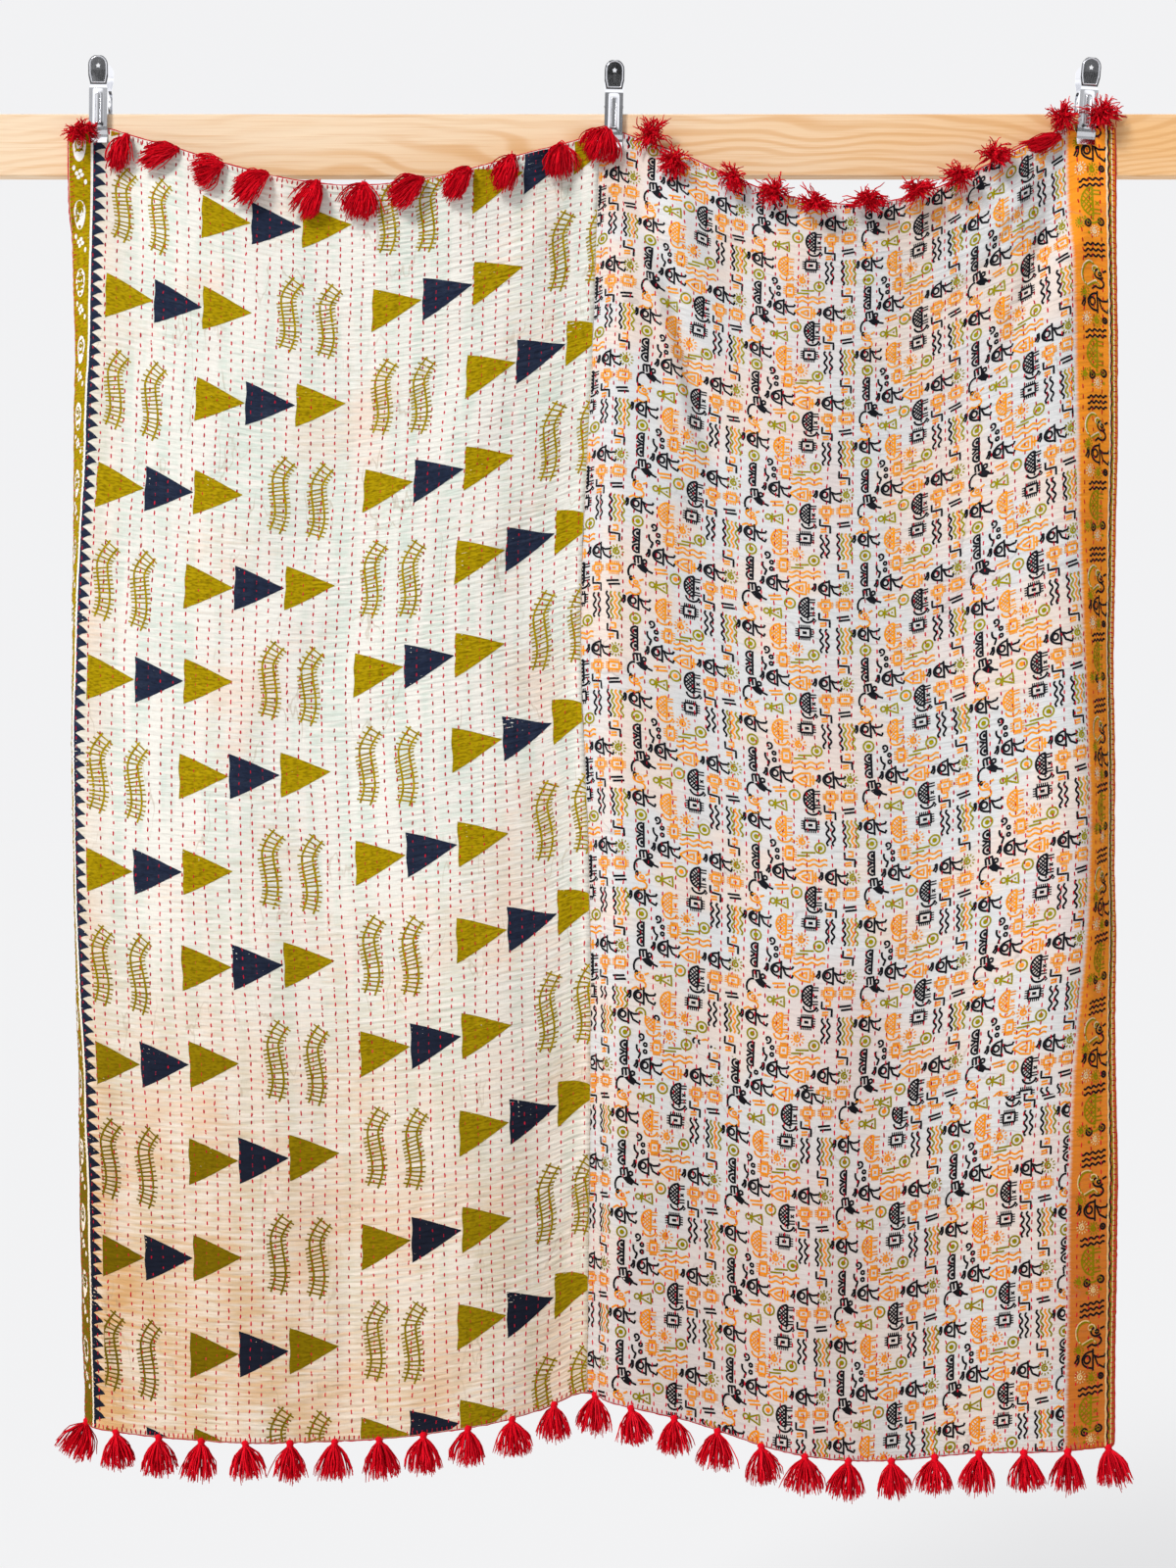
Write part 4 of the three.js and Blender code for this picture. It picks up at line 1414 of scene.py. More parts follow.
@dataclass(frozen=True)
class EdgeStitch:
    """A loop stitch round the whole quilt: short bars over the edge and a thread along it."""

    quilt: Quilt
    material: Material
    pitch: float = 7.2
    reach: float = 7.6
    width: float = 2.0
    height: float = 0.8
    cord_radius: float = 1.5
    cord_step: float = 4.8
    cord_bob: float = 0.25
    cord_tone: float = 0.6
    lengths: Pair = (0.85, 1.15)
    lean: float = 0.16
    seed: int = 5

    def _round(self, step: float, inset: float) -> tuple[Array, Array]:
        """Places and inward directions round the edge, a step apart.

        Args:
            step: distance between places.
            inset: how far inside the edge they lie.

        Returns:
            (n, 2) places and (n, 2) inward directions on the flat cloth.
        """
        corners = np.array([[0, 0], [0, 1], [1, 1], [1, 0]]) * [SIZE.width, SIZE.length]
        inward = np.array([[1, 0], [0, -1], [-1, 0], [0, 1]], float)
        places = []
        headings = []
        for start, end, heading in zip(corners, np.roll(corners, -1, axis=0), inward):
            count = int(np.linalg.norm(end - start) / step)
            share = (np.arange(count)[:, None] + 0.5) / count
            places.append(start + (end - start) * share + heading * inset)
            headings.append(np.repeat(heading[None], count, axis=0))
        return np.concatenate(places), np.concatenate(headings)

    def build(self) -> Piece:
        """Makes the bars and the thread.

        Returns:
            Both as one piece.
        """
        rng = np.random.default_rng(self.seed)
        places, inward = self._round(self.pitch, self.reach / 2)
        sideways = np.stack([inward[:, 1], -inward[:, 0]], axis=-1)
        length = self.reach * rng.uniform(*self.lengths, (len(places), 1))
        lean = rng.normal(0.0, self.lean, (len(places), 1))
        run = LOZENGE_ALONG * length
        stray = LOZENGE_ASIDE * self.width + run * lean
        flat = places[:, None] + run[..., None] * inward[:, None] + stray[..., None] * sideways[:, None]
        flat = np.clip(flat, 0.0, [SIZE.width, SIZE.length])
        lift = LOZENGE_LIFT * self.height
        bars = [self.quilt.place(flat[..., 0], flat[..., 1], side) for side in (lift, -SIZE.thickness - lift)]
        points = np.concatenate(bars).reshape(-1, 3)
        half = lozenges(len(places))
        faces = np.concatenate([half, half[:, ::-1] + 8 * len(places)])

        edge, heading = self._round(self.cord_step, 0.0)
        inside = edge + heading * 4.0
        rim = self.quilt.place(edge[:, 0], edge[:, 1], -HALF)
        outward = unit(rim - self.quilt.place(inside[:, 0], inside[:, 1], -HALF))
        bob = 0.5 + rng.normal(0.0, self.cord_bob, (len(rim), 1))
        cord_points, cord_faces = tube_loop(rim + outward * bob, self.cord_radius)
        cord_tones = np.full(len(cord_points), self.cord_tone)
        tone = np.concatenate([np.repeat(rng.random(2 * len(places)), 8), cord_tones])
        all_faces = [faces, cord_faces + len(points)]
        points = np.concatenate([points, cord_points])
        return make_piece("edge_stitching", points, all_faces, [self.material], marks={STRAND_MARK: tone})


def tube_loop(path: Array, radius: float) -> tuple[Array, Array]:
    """A four-sided tube round a closed path.

    Args:
        path: (n, 3) points.
        radius: the tube's radius.

    Returns:
        Points and quads.
    """
    along = unit(np.roll(path, -1, axis=0) - np.roll(path, 1, axis=0))
    outwards = unit(np.cross(along, [0.0, 1.0, 0.0]))
    upwards = np.cross(along, outwards)
    turn = np.arange(4) * np.pi / 2
    ring = np.cos(turn)[None, :, None] * outwards[:, None] + np.sin(turn)[None, :, None] * upwards[:, None]
    points = (path[:, None] + radius * ring).reshape(-1, 3)
    number = np.arange(len(path))[:, None]
    after = (number + 1) % len(path)
    side = np.arange(4)[None]
    other = (side + 1) % 4
    return points, faces_of(number * 4 + side, number * 4 + other, after * 4 + other, after * 4 + side)


def along(*corners: Pair, step: float = 3.2) -> Array:
    """A bent line through corners, with points no further apart than a step.

    Args:
        corners: the line's corners.
        step: the longest distance between points.

    Returns:
        (n, 2) points.
    """
    ends = np.array(corners, float)
    lengths = np.linalg.norm(np.diff(ends, axis=0), axis=1)
    counts = np.maximum(1, np.ceil(lengths / step)).astype(int)
    legs = [
        start + (end - start) * (np.arange(count) / count)[:, None]
        for start, end, count in zip(ends[:-1], ends[1:], counts)
    ]
    return np.concatenate([*legs, ends[-1:]])


def round_path(x: float, y: float, wide: float, tall: float, start: float = 0.0, end: float = 360.0) -> Array:
    """An arc of an ellipse about (x, y) with half axes wide and tall, in degrees down from the right.

    Args:
        x, y: the middle.
        wide, tall: the half axes.
        start, end: the arc's ends, in degrees.

    Returns:
        (n, 2) points.
    """
    count = int(np.clip(abs(np.radians(end - start)) * (wide + tall) / 2 / 2.3, 5, 28))
    turn = np.radians(np.linspace(start, end, count + 1))
    return np.stack([x + wide * np.cos(turn), y + tall * np.sin(turn)], axis=1)


def wave_path(start: Pair, end: Pair, depth: float, turns: float) -> Array:
    """A sine wave along a line: so many turns, swinging so deep to each side.

    Args:
        start, end: the line's ends.
        depth: the swing.
        turns: how many waves.

    Returns:
        (n, 2) points.
    """
    share = np.linspace(0.0, 1.0, int(turns * 7) + 1)[:, None]
    first = np.array(start, float)
    run = np.array(end, float) - first
    side = np.array([-run[1], run[0]]) / np.linalg.norm(run)
    return first + run * share + side * depth * np.sin(2 * np.pi * turns * share)


def turn_of(flat: Array, faces: Array) -> Array:
    """Twice the area of flat triangles, positive for those wound clockwise as seen on the cloth.

    Args:
        flat: (n, 2) points.
        faces: the triangles.

    Returns:
        One value for each triangle.
    """
    first, second, third = (flat[faces[:, corner]] for corner in range(3))
    one = second - first
    two = third - first
    return one[:, 0] * two[:, 1] - one[:, 1] * two[:, 0]


class Art:
    """Flat print work: triangles in (across, drop), kept apart by ink."""

    LEAST_AREA = 0.01

    def __init__(self) -> None:
        """Starts bare."""
        self.shapes: dict[Ink, list[tuple[Array, Array]]] = {}

    def add(self, ink: Ink, points: Array, faces: Array) -> None:
        """Adds triangles in an ink."""
        self.shapes.setdefault(ink, []).append((points, faces))

    def stroke(self, ink: Ink, path: Array, width: float) -> None:
        """Adds a line: its path moved half the width to each side."""
        aside = unit(np.gradient(path, axis=0))[:, ::-1] * [-1, 1] * width / 2
        self.sheet(ink, np.stack([path - aside, path + aside], axis=1))

    def sheet(self, ink: Ink, grid: Array) -> None:
        """Adds a grid of points as triangles.

        Args:
            ink: its ink.
            grid: (rows, columns, 2) points.
        """
        quads = grid_quads(*grid.shape[:2])
        faces = np.concatenate([quads[:, [0, 1, 2]], quads[:, [0, 2, 3]]])
        self.add(ink, grid.reshape(-1, 2), faces)

    def fill(self, ink: Ink, path: Array) -> None:
        """Adds the inside of a closed path as a fan from its middle.

        Args:
            ink: its ink.
            path: (n, 2) points.
        """
        rim = path[:-1]
        number = np.arange(len(rim))
        faces = np.stack([np.full(len(rim), len(rim)), number, (number + 1) % len(rim)], axis=1)
        self.add(ink, np.concatenate([rim, rim.mean(axis=0, keepdims=True)]), faces)

    def merged(self, ink: Ink) -> tuple[Array, Array]:
        """All of an ink's points and triangles."""
        return merged(self.shapes[ink])

    def stamped(self, places: Array, slant: float = 0.0) -> Art:
        """This work repeated at many places.

        Args:
            places: (n, 2) shifts.
            slant: how far the whole print drops for each step across.

        Returns:
            The repeated work.
        """
        made = Art()
        for ink in self.shapes:
            points, faces = self.merged(ink)
            spread = points[None] + places[:, None]
            spread[..., 1] += slant * spread[..., 0]
            copies = faces[None] + len(points) * np.arange(len(places))[:, None, None]
            made.add(ink, spread.reshape(-1, 2), copies.reshape(-1, 3))
        return made

    def join(self, other: Art) -> None:
        """Takes in another work's shapes."""
        for ink, shapes in other.shapes.items():
            self.shapes.setdefault(ink, []).extend(shapes)

    def trimmed(self, trim: Callable[[Array], Array]) -> Art:
        """This work cut off at an edge: points are moved back to it, and faces left with no area are dropped.

        Args:
            trim: gives each point's place after the cut.

        Returns:
            The cut work.
        """
        made = Art()
        for ink in self.shapes:
            points, faces = self.merged(ink)
            held = trim(points)
            kept = faces[np.abs(turn_of(held, faces)) / 2 > self.LEAST_AREA]
            used, number = np.unique(kept, return_inverse=True)
            made.add(ink, held[used], number.reshape(kept.shape))
        return made


@dataclass(frozen=True)
class Printing:
    """Lays flat print work on a panel, one thin piece for each ink."""

    panel: Panel
    slot: Slot
    finishes: dict[Ink, Material]
    lift: float = 0.4

    def build(self, prefix: str, art: Art, lift: float = 0.0) -> list[Piece]:
        """Makes the pieces.

        Args:
            prefix: the start of their names.
            art: the flat work.
            lift: extra height above the cloth.

        Returns:
            The pieces.
        """
        made = []
        for ink in art.shapes:
            flat, faces = art.merged(ink)
            if not len(faces):
                continue
            points = self.panel.place(flat[:, 0], flat[:, 1], self.lift + lift)
            faces = np.where((turn_of(flat, faces) > 0)[:, None], faces[:, ::-1], faces)
            maps = {BAKE_MAP: self.panel.bake_places(flat[:, 0], flat[:, 1]), CLOTH_MAP: flat * MM}
            made_piece = make_piece(f"{prefix}_{ink.value}", points, [faces], [self.finishes[ink]], maps)
            made.append(seat(made_piece, self.slot))
        return made


@dataclass(frozen=True)
class Pen:
    """Draws one figure in an ink about a middle point, at a scale."""

    art: Art
    ink: Ink
    x: float
    y: float
    scale: float = 1.0
    weight: float = 1.0

    WIDTHS = {Ink.BLACK: 3.0, Ink.ORANGE: 2.7, Ink.OLIVE: 2.55, Ink.WHITE: 1.9}

    def thin(self, weight: float) -> Pen:
        """The same pen with finer lines."""
        return replace(self, weight=weight)

    def dipped(self, ink: Ink) -> Pen:
        """The same pen in another ink."""
        return replace(self, ink=ink)

    def _draw(self, path: Array) -> None:
        """Strokes a path in the ink's own width."""
        width = self.WIDTHS[self.ink] * self.weight
        self.art.stroke(self.ink, path * self.scale + [self.x, self.y], width)

    def _fill(self, path: Array) -> None:
        """Fills a closed path."""
        self.art.fill(self.ink, path * self.scale + [self.x, self.y])

    def line(self, *corners: Pair) -> None:
        """A bent line."""
        self._draw(along(*corners))

    def arc(self, x: float, y: float, wide: float, tall: float, start: float = 0, end: float = 360) -> None:
        """Part of an ellipse."""
        self._draw(round_path(x, y, wide, tall, start, end))

    def blot(self, x: float, y: float, wide: float, tall: float) -> None:
        """A filled ellipse."""
        self._fill(round_path(x, y, wide, tall))

    def patch(self, *corners: Pair) -> None:
        """A filled shape with corners."""
        self._fill(along(*corners, corners[0]))

    def wave(self, start: Pair, end: Pair, depth: float, turns: float) -> None:
        """A wave along a line."""
        self._draw(wave_path(start, end, depth, turns))

    def curl(self, x: float, y: float, radius: float, turns: float) -> None:
        """A spiral out from (x, y): the radius grows evenly with the angle.

        Args:
            x, y: its middle.
            radius: its last radius.
            turns: how often it goes round.
        """
        reach = np.linspace(0.15, 1.0, int(turns * 9) + 1)
        angle = 2 * np.pi * turns * reach
        spiral = np.stack([np.cos(angle), np.sin(angle)], axis=1)
        self._draw((radius * reach)[:, None] * spiral + [x, y])


def draw_ox(pen: Pen) -> None:
    """A beast on its side: a domed back with a ring in it, a yoke bar, two bent legs and a forked crest.

    Args:
        pen: what draws it.
    """
    pen.arc(0, 0, 14.5, 10, 90, 270)
    pen.arc(-7.5, -0.5, 4.2, 4.6)
    pen.line((0, -13), (0.5, 13))
    pen.line((1, -5), (8, -2), (16, -3), (17.5, -6.5))
    pen.line((3, -3), (7, 6), (16, 10.5), (17.5, 6))
    pen.blot(-20, -5, 2.8, 2.8)
    pen.line((-20, -4), (-24.5, 3))
    pen.line((-19, -4), (-19, 1), (-21.5, 5))


def draw_bird(pen: Pen) -> None:
    """A crested bird: a filled body with a beak, a comb of feathers and a long curved tail.

    Args:
        pen: what draws it.
    """
    pen.patch((-4, -2), (6, -6), (14, 1), (10, 8), (3, 5))
    pen.line((12, 3), (20, 6))
    pen.arc(8, -9, 3, 3)
    pen.arc(-6, 9, 9, 12, 150, 280)
    pen.blot(-11, 18, 3, 4)
    for x in (-6, -1, 4):
        pen.line((x, -5), (x - 1, -15))
    pen.line((-7, -15), (4, -16))


def draw_elephant(pen: Pen) -> None:
    """An elephant on its side: a latticed domed back, legs to the right, and its head and trunk below.

    Args:
        pen: what draws it.
    """
    pen.arc(4, -2, 14, 15, 90, 270)
    pen.line((4, -17), (4, 13))
    fine = pen.thin(0.68)
    reach = np.linspace(-10.0, 4.0, 29)
    for slope in (-1.0, 1.0):
        for begin in (-13.0, -7.5, -2.0, 3.5, 9.0):
            height = begin + slope * (reach - 4.0)
            inside = ((reach - 4.0) / 14.0) ** 2 + ((height + 2.0) / 15.0) ** 2 < 1.0
            ends = np.stack([reach[inside], height[inside]], axis=1)[[0, -1]]
            fine.line(*map(tuple, ends))
    for y in (-14, -10, 6, 10):
        fine.line((4, y), (13.5, y - 0.5))
    fine.line((7, -3), (12, 1))
    fine.line((7, 1), (12, -3))
    pen.arc(2, 13, 9.5, 7.5, 0, 180)
    pen.blot(3, 16, 1.7, 1.7)
    fine.line((11, 14), (14.5, 17.5), (11.5, 20))


def draw_four_waves(pen: Pen) -> None:
    """Four upright waves side by side."""
    for x, ink in ((-9, Ink.BLACK), (-3, Ink.OLIVE), (3, Ink.ORANGE), (9, Ink.OLIVE)):
        pen.dipped(ink).wave((x, -20), (x + 1, 20), 2.0, 3)


def draw_two_waves(pen: Pen) -> None:
    """Two upright black waves."""
    pen.wave((-4, -18), (-3, 18), 2.2, 2.5)
    pen.wave((4, -18), (5, 18), 2.2, 2.5)


def draw_river(pen: Pen) -> None:
    """Two level orange waves under two short olive dashes.

    Args:
        pen: what draws it.
    """
    pen.wave((-23, 0), (23, -1), 1.6, 3)
    pen.wave((-23, 7), (23, 6), 1.6, 3)
    dashes = pen.dipped(Ink.OLIVE)
    dashes.line((-14, -11), (6, -12))
    dashes.line((-20, -6), (-2, -7))


def draw_comb_box(pen: Pen, wide: float, tall: float) -> None:
    """A box with a filled middle and short bristles all round.

    Args:
        pen: the pen.
        wide: half the box's width.
        tall: half the box's height.
    """
    pen.line((-wide, -tall), (wide, -tall), (wide, tall), (-wide, tall), (-wide, -tall))
    x = wide * 0.36
    y = tall * 0.32
    pen.patch((-x, -y), (x, -y), (x, y), (-x, y))
    fine = pen.thin(0.55)
    for side in (-1, 1):
        for x in np.linspace(-0.85, 0.85, 6) * wide:
            fine.line((x, side * tall), (x, side * (tall + 4.8)))
        for y in np.linspace(-0.8, 0.8, 4) * tall:
            fine.line((side * wide, y), (side * (wide + 4.8), y))


def draw_step(pen: Pen) -> None:
    """A black stair with small orange combs on each side.

    Args:
        pen: what draws it.
    """
    pen.line((-8, -11), (-8, -1), (7, 0), (7, 11))
    comb = pen.dipped(Ink.ORANGE)
    comb.line((-3, -5), (4, -5), (4, -12), (-3, -12))
    for y in (4, 8):
        comb.line((-7, y + 1), (2, y))


def draw_sun(pen: Pen) -> None:
    """A spiral with short rays.

    Args:
        pen: what draws it.
    """
    pen.curl(0, 0, 5.6, 1.8)
    fine = pen.thin(0.68)
    for turn in np.radians(np.arange(0, 360, 30)):
        ray = np.array([np.cos(turn), np.sin(turn)])
        fine.line(tuple(ray * 7.2), tuple(ray * 10.6))


def draw_target(pen: Pen, middle: Ink) -> None:
    """A ring round a dot."""
    pen.arc(0, 0, 7.4, 7.4)
    pen.dipped(middle).blot(0, 0, 3.6, 3.6)


def draw_dancer(pen: Pen) -> None:
    """An olive figure on its side: a round head, open arms and a flared skirt.

    Args:
        pen: what draws it.
    """
    pen.arc(-9.5, -0.5, 3.8, 3.8)
    pen.line((-6, 0), (11, -7), (12, 8), (-6, 0))
    pen.line((-3.5, -7), (-4.5, 7.5))
    pen.blot(7, 0.5, 1.7, 1.7)


def draw_kite(pen: Pen) -> None:
    """An orange kite of nested triangles with a crossed tail.

    Args:
        pen: what draws it.
    """
    pen.line((-16, -1), (-4, -8.5), (9, -9.5), (9, 9.5), (-4, 7.5), (-16, -1))
    pen.line((-7, 0), (4, -4.5), (4, 4.5), (-7, 0))
    pen.line((9, 0), (17, 0.5))
    pen.line((13, -7), (13, 7))


def draw_hills(pen: Pen) -> None:
    """Two black hills with dark hearts and a forked twig between them.

    Args:
        pen: what draws it.
    """
    for y in (-11, 11):
        pen.arc(5, y, 9, 6.5, 100, 260)
        pen.blot(2, y, 2.4, 3)
    pen.line((5, -18), (5, 18))
    pen.line((4, 0), (-5, -4))
    pen.line((1, 0), (-5, 4))


def draw_vine(pen: Pen) -> None:
    """A black tendril with two berries.

    Args:
        pen: what draws it.
    """
    pen.curl(0, -12, 6, 1.3)
    pen.arc(2, 3, 8, 9, 200, 100)
    pen.arc(7, -1, 2.6, 2.6)
    pen.arc(7, 9, 2.6, 2.6)
    pen.line((0, 12), (-3, 20))


def draw_dashes(pen: Pen) -> None:
    """Two short strokes side by side."""
    pen.line((-10, -1), (8, -3))
    pen.line((-7, 4), (10, 2))


def draw_snake(pen: Pen) -> None:
    """A double swirl with two loose ends.

    Args:
        pen: what draws it.
    """
    pen.arc(0, -7, 8, 6, 30, 270)
    pen.arc(0, 5, 8, 6, -90, 150)
    pen.arc(1, -7, 3, 2.4)
    pen.line((-7, 9), (-13, 13))
    pen.line((6, -10), (12, -13))


class FolkPrint:
    """The grey panel's small figures, charted in one repeat and printed slanting a little up to the right."""

    CELL = (166.0, 143.0)
    SLANT = -0.10
    JOIN_ACROSS = (780, 880, 1120, 1240, 1590)
    JOIN_DROP = (1285, 1300, 1345, 1358, 1356)
    BORDER_EDGE = 1509.0

    def chart(self) -> Art:
        """One repeat.

        Returns:
            The repeat's art.
        """
        art = Art()
        black, orange, olive = (partial(Pen, art, ink) for ink in (Ink.BLACK, Ink.ORANGE, Ink.OLIVE))
        draw_four_waves(black(15, 22))
        draw_step(black(14, 60))
        draw_sun(olive(18, 86))
        draw_comb_box(orange(15, 110), 7.5, 5)
        draw_dashes(black(14, 131))
        draw_ox(black(50, 12))
        draw_target(olive(46, 37), Ink.OLIVE)
        draw_hills(black(44, 66))
        draw_bird(black(50, 104))
        draw_snake(orange(45, 134))
        draw_elephant(orange(85, 18))
        draw_vine(black(69, 53))
        draw_comb_box(orange(93, 54), 5.5, 6.5)
        draw_ox(black(84, 82))
        draw_dashes(orange(82, 104))
        draw_dancer(olive(79, 127))
        draw_comb_box(black(124, 11), 8.5, 6.5)
        draw_sun(orange(112, 36))
        draw_river(orange(124, 63))
        draw_kite(orange(117, 87))
        draw_target(olive(103, 111), Ink.ORANGE)
        draw_elephant(black(126, 118))
        draw_two_waves(black(152, 22))
        draw_target(olive(137, 44), Ink.OLIVE)
        draw_ox(black(159, 86))
        draw_comb_box(orange(154, 111), 6.5, 4.5)
        draw_step(black(153, 134))
        return art

    def lattice(self, start: float, low: float, high: float) -> Array:
        """Places of the repeats that cover the panel between two drops.

        Args:
            start: shift of the first repeat across.
            low: the upper drop.
            high: the lower drop.

        Returns:
            (n, 2) places.
        """
        wide, tall = self.CELL
        across = np.arange(SIZE.left_width - wide + start, self.BORDER_EDGE, wide)
        drop = np.arange(low - tall, high + 2 * tall, tall)
        return np.stack(np.meshgrid(across, drop), axis=-1).reshape(-1, 2)

    def art(self) -> Art:
        """The whole print: two runs of the screen that meet badly along one level join.

        Returns:
            The print's art.
        """
        repeat = self.chart()
        first = repeat.stamped(self.lattice(40.0, 60.0, 1500.0), self.SLANT)
        second = repeat.stamped(self.lattice(18.0, 1376.0, 2000.0), self.SLANT)
        whole = first.trimmed(lambda points: self._hold(points, True))
        whole.join(second.trimmed(lambda points: self._hold(points, False)))
        return whole

    def _hold(self, points: Array, above: bool) -> Array:
        """Points kept between the seam and the border, and on one side of the join.

        Args:
            points: places on the cloth.
            above: whether they lie above the join.

        Returns:
            The places kept there.
        """
        across = np.clip(points[:, 0], SIZE.left_width + 0.6, self.BORDER_EDGE)
        join = np.interp(across, self.JOIN_ACROSS, self.JOIN_DROP)
        low = np.where(above, 1.0, join)
        high = np.where(above, join, SIZE.length - 1.0)
        return np.stack([across, np.clip(points[:, 1], low, high)], axis=1)


class OrangeBorder:
    """Figures and stripes on the orange border at the right edge."""

    REPEAT = 212.0
    MIDDLE = 1553.0
    STRIPES = (
        (Ink.WHITE, 13.6, 2.6, 0.3),
        (Ink.BLACK, 10.2, 2.4, 0.9),
        (Ink.OLIVE, 7.4, 1.8, 0.4),
        (Ink.WHITE, 5.2, 1.6, 0.3),
    )

    def art(self) -> Art:
        """The border's work.

        Returns:
            The border's art.
        """
        art = Art()
        for ink, inset, width, sway in self.STRIPES:
            start = (SIZE.width - inset, 1.0)
            end = (SIZE.width - inset, SIZE.length - 1.0)
            art.stroke(ink, wave_path(start, end, sway, 95), width)
        repeat = Art()
        self._chart(repeat)
        places = np.stack([np.zeros(10), np.arange(10) * self.REPEAT - 40.0], axis=1)
        art.join(repeat.stamped(places))
        return art.trimmed(self._hold)

    def _chart(self, art: Art) -> None:
        """One repeat of figures down the border.

        Args:
            art: where it is drawn.
        """
        black, olive, white = (partial(Pen, art, ink) for ink in (Ink.BLACK, Ink.OLIVE, Ink.WHITE))
        x = self.MIDDLE
        for y in (0, 8, 16):
            black(x, y).wave((-22, 1), (18, -2), 1.5, 4)
        self._scroll(white(x - 11, 42, 1.2))
        draw_snake(black(x + 6, 48, 1.1))
        draw_sun(olive(x - 22, 66, 0.8))
        draw_ox(black(x + 1, 80, 1.2))
        draw_sun(white(x - 19, 103, 0.9))
        draw_sun(olive(x, 106, 0.9))
        draw_target(black(x + 15, 104, 0.5), Ink.BLACK)
        for y in (120, 128):
            black(x, y).wave((-22, 1), (18, -2), 1.5, 4)
        draw_elephant(olive(x - 6, 154, 1.35))
        draw_sun(olive(x - 24, 180, 0.8))
        draw_target(black(x - 11, 182, 0.65), Ink.BLACK)
        draw_target(black(x + 12, 178, 0.65), Ink.BLACK)
        draw_sun(white(x, 193, 0.8))
        for aside, y in ((-11, 196), (12, 192)):
            olive(x + aside, y).blot(0, 0, 2.2, 2.2)

    @staticmethod
    def _scroll(pen: Pen) -> None:
        """A leafy scroll in olive with a white edge.

        Args:
            pen: what draws it.
        """
        for ink, shift in ((Ink.WHITE, -1.8), (Ink.OLIVE, 0.0)):
            leaf = pen.dipped(ink)
            leaf.arc(shift, shift, 12, 14, 120, 300)
            leaf.curl(8 + shift, -4 + shift, 7, 1.1)
            leaf.line((-4 + shift, 14 + shift), (10 + shift, 8 + shift), (15 + shift, 13 + shift))

    def _hold(self, points: Array) -> Array:
        """Points kept inside the edge stitching."""
        across = np.clip(points[:, 0], FolkPrint.BORDER_EDGE, SIZE.width - 1.0)
        return np.stack([across, np.clip(points[:, 1], 1.0, SIZE.length - 1.0)], axis=1)


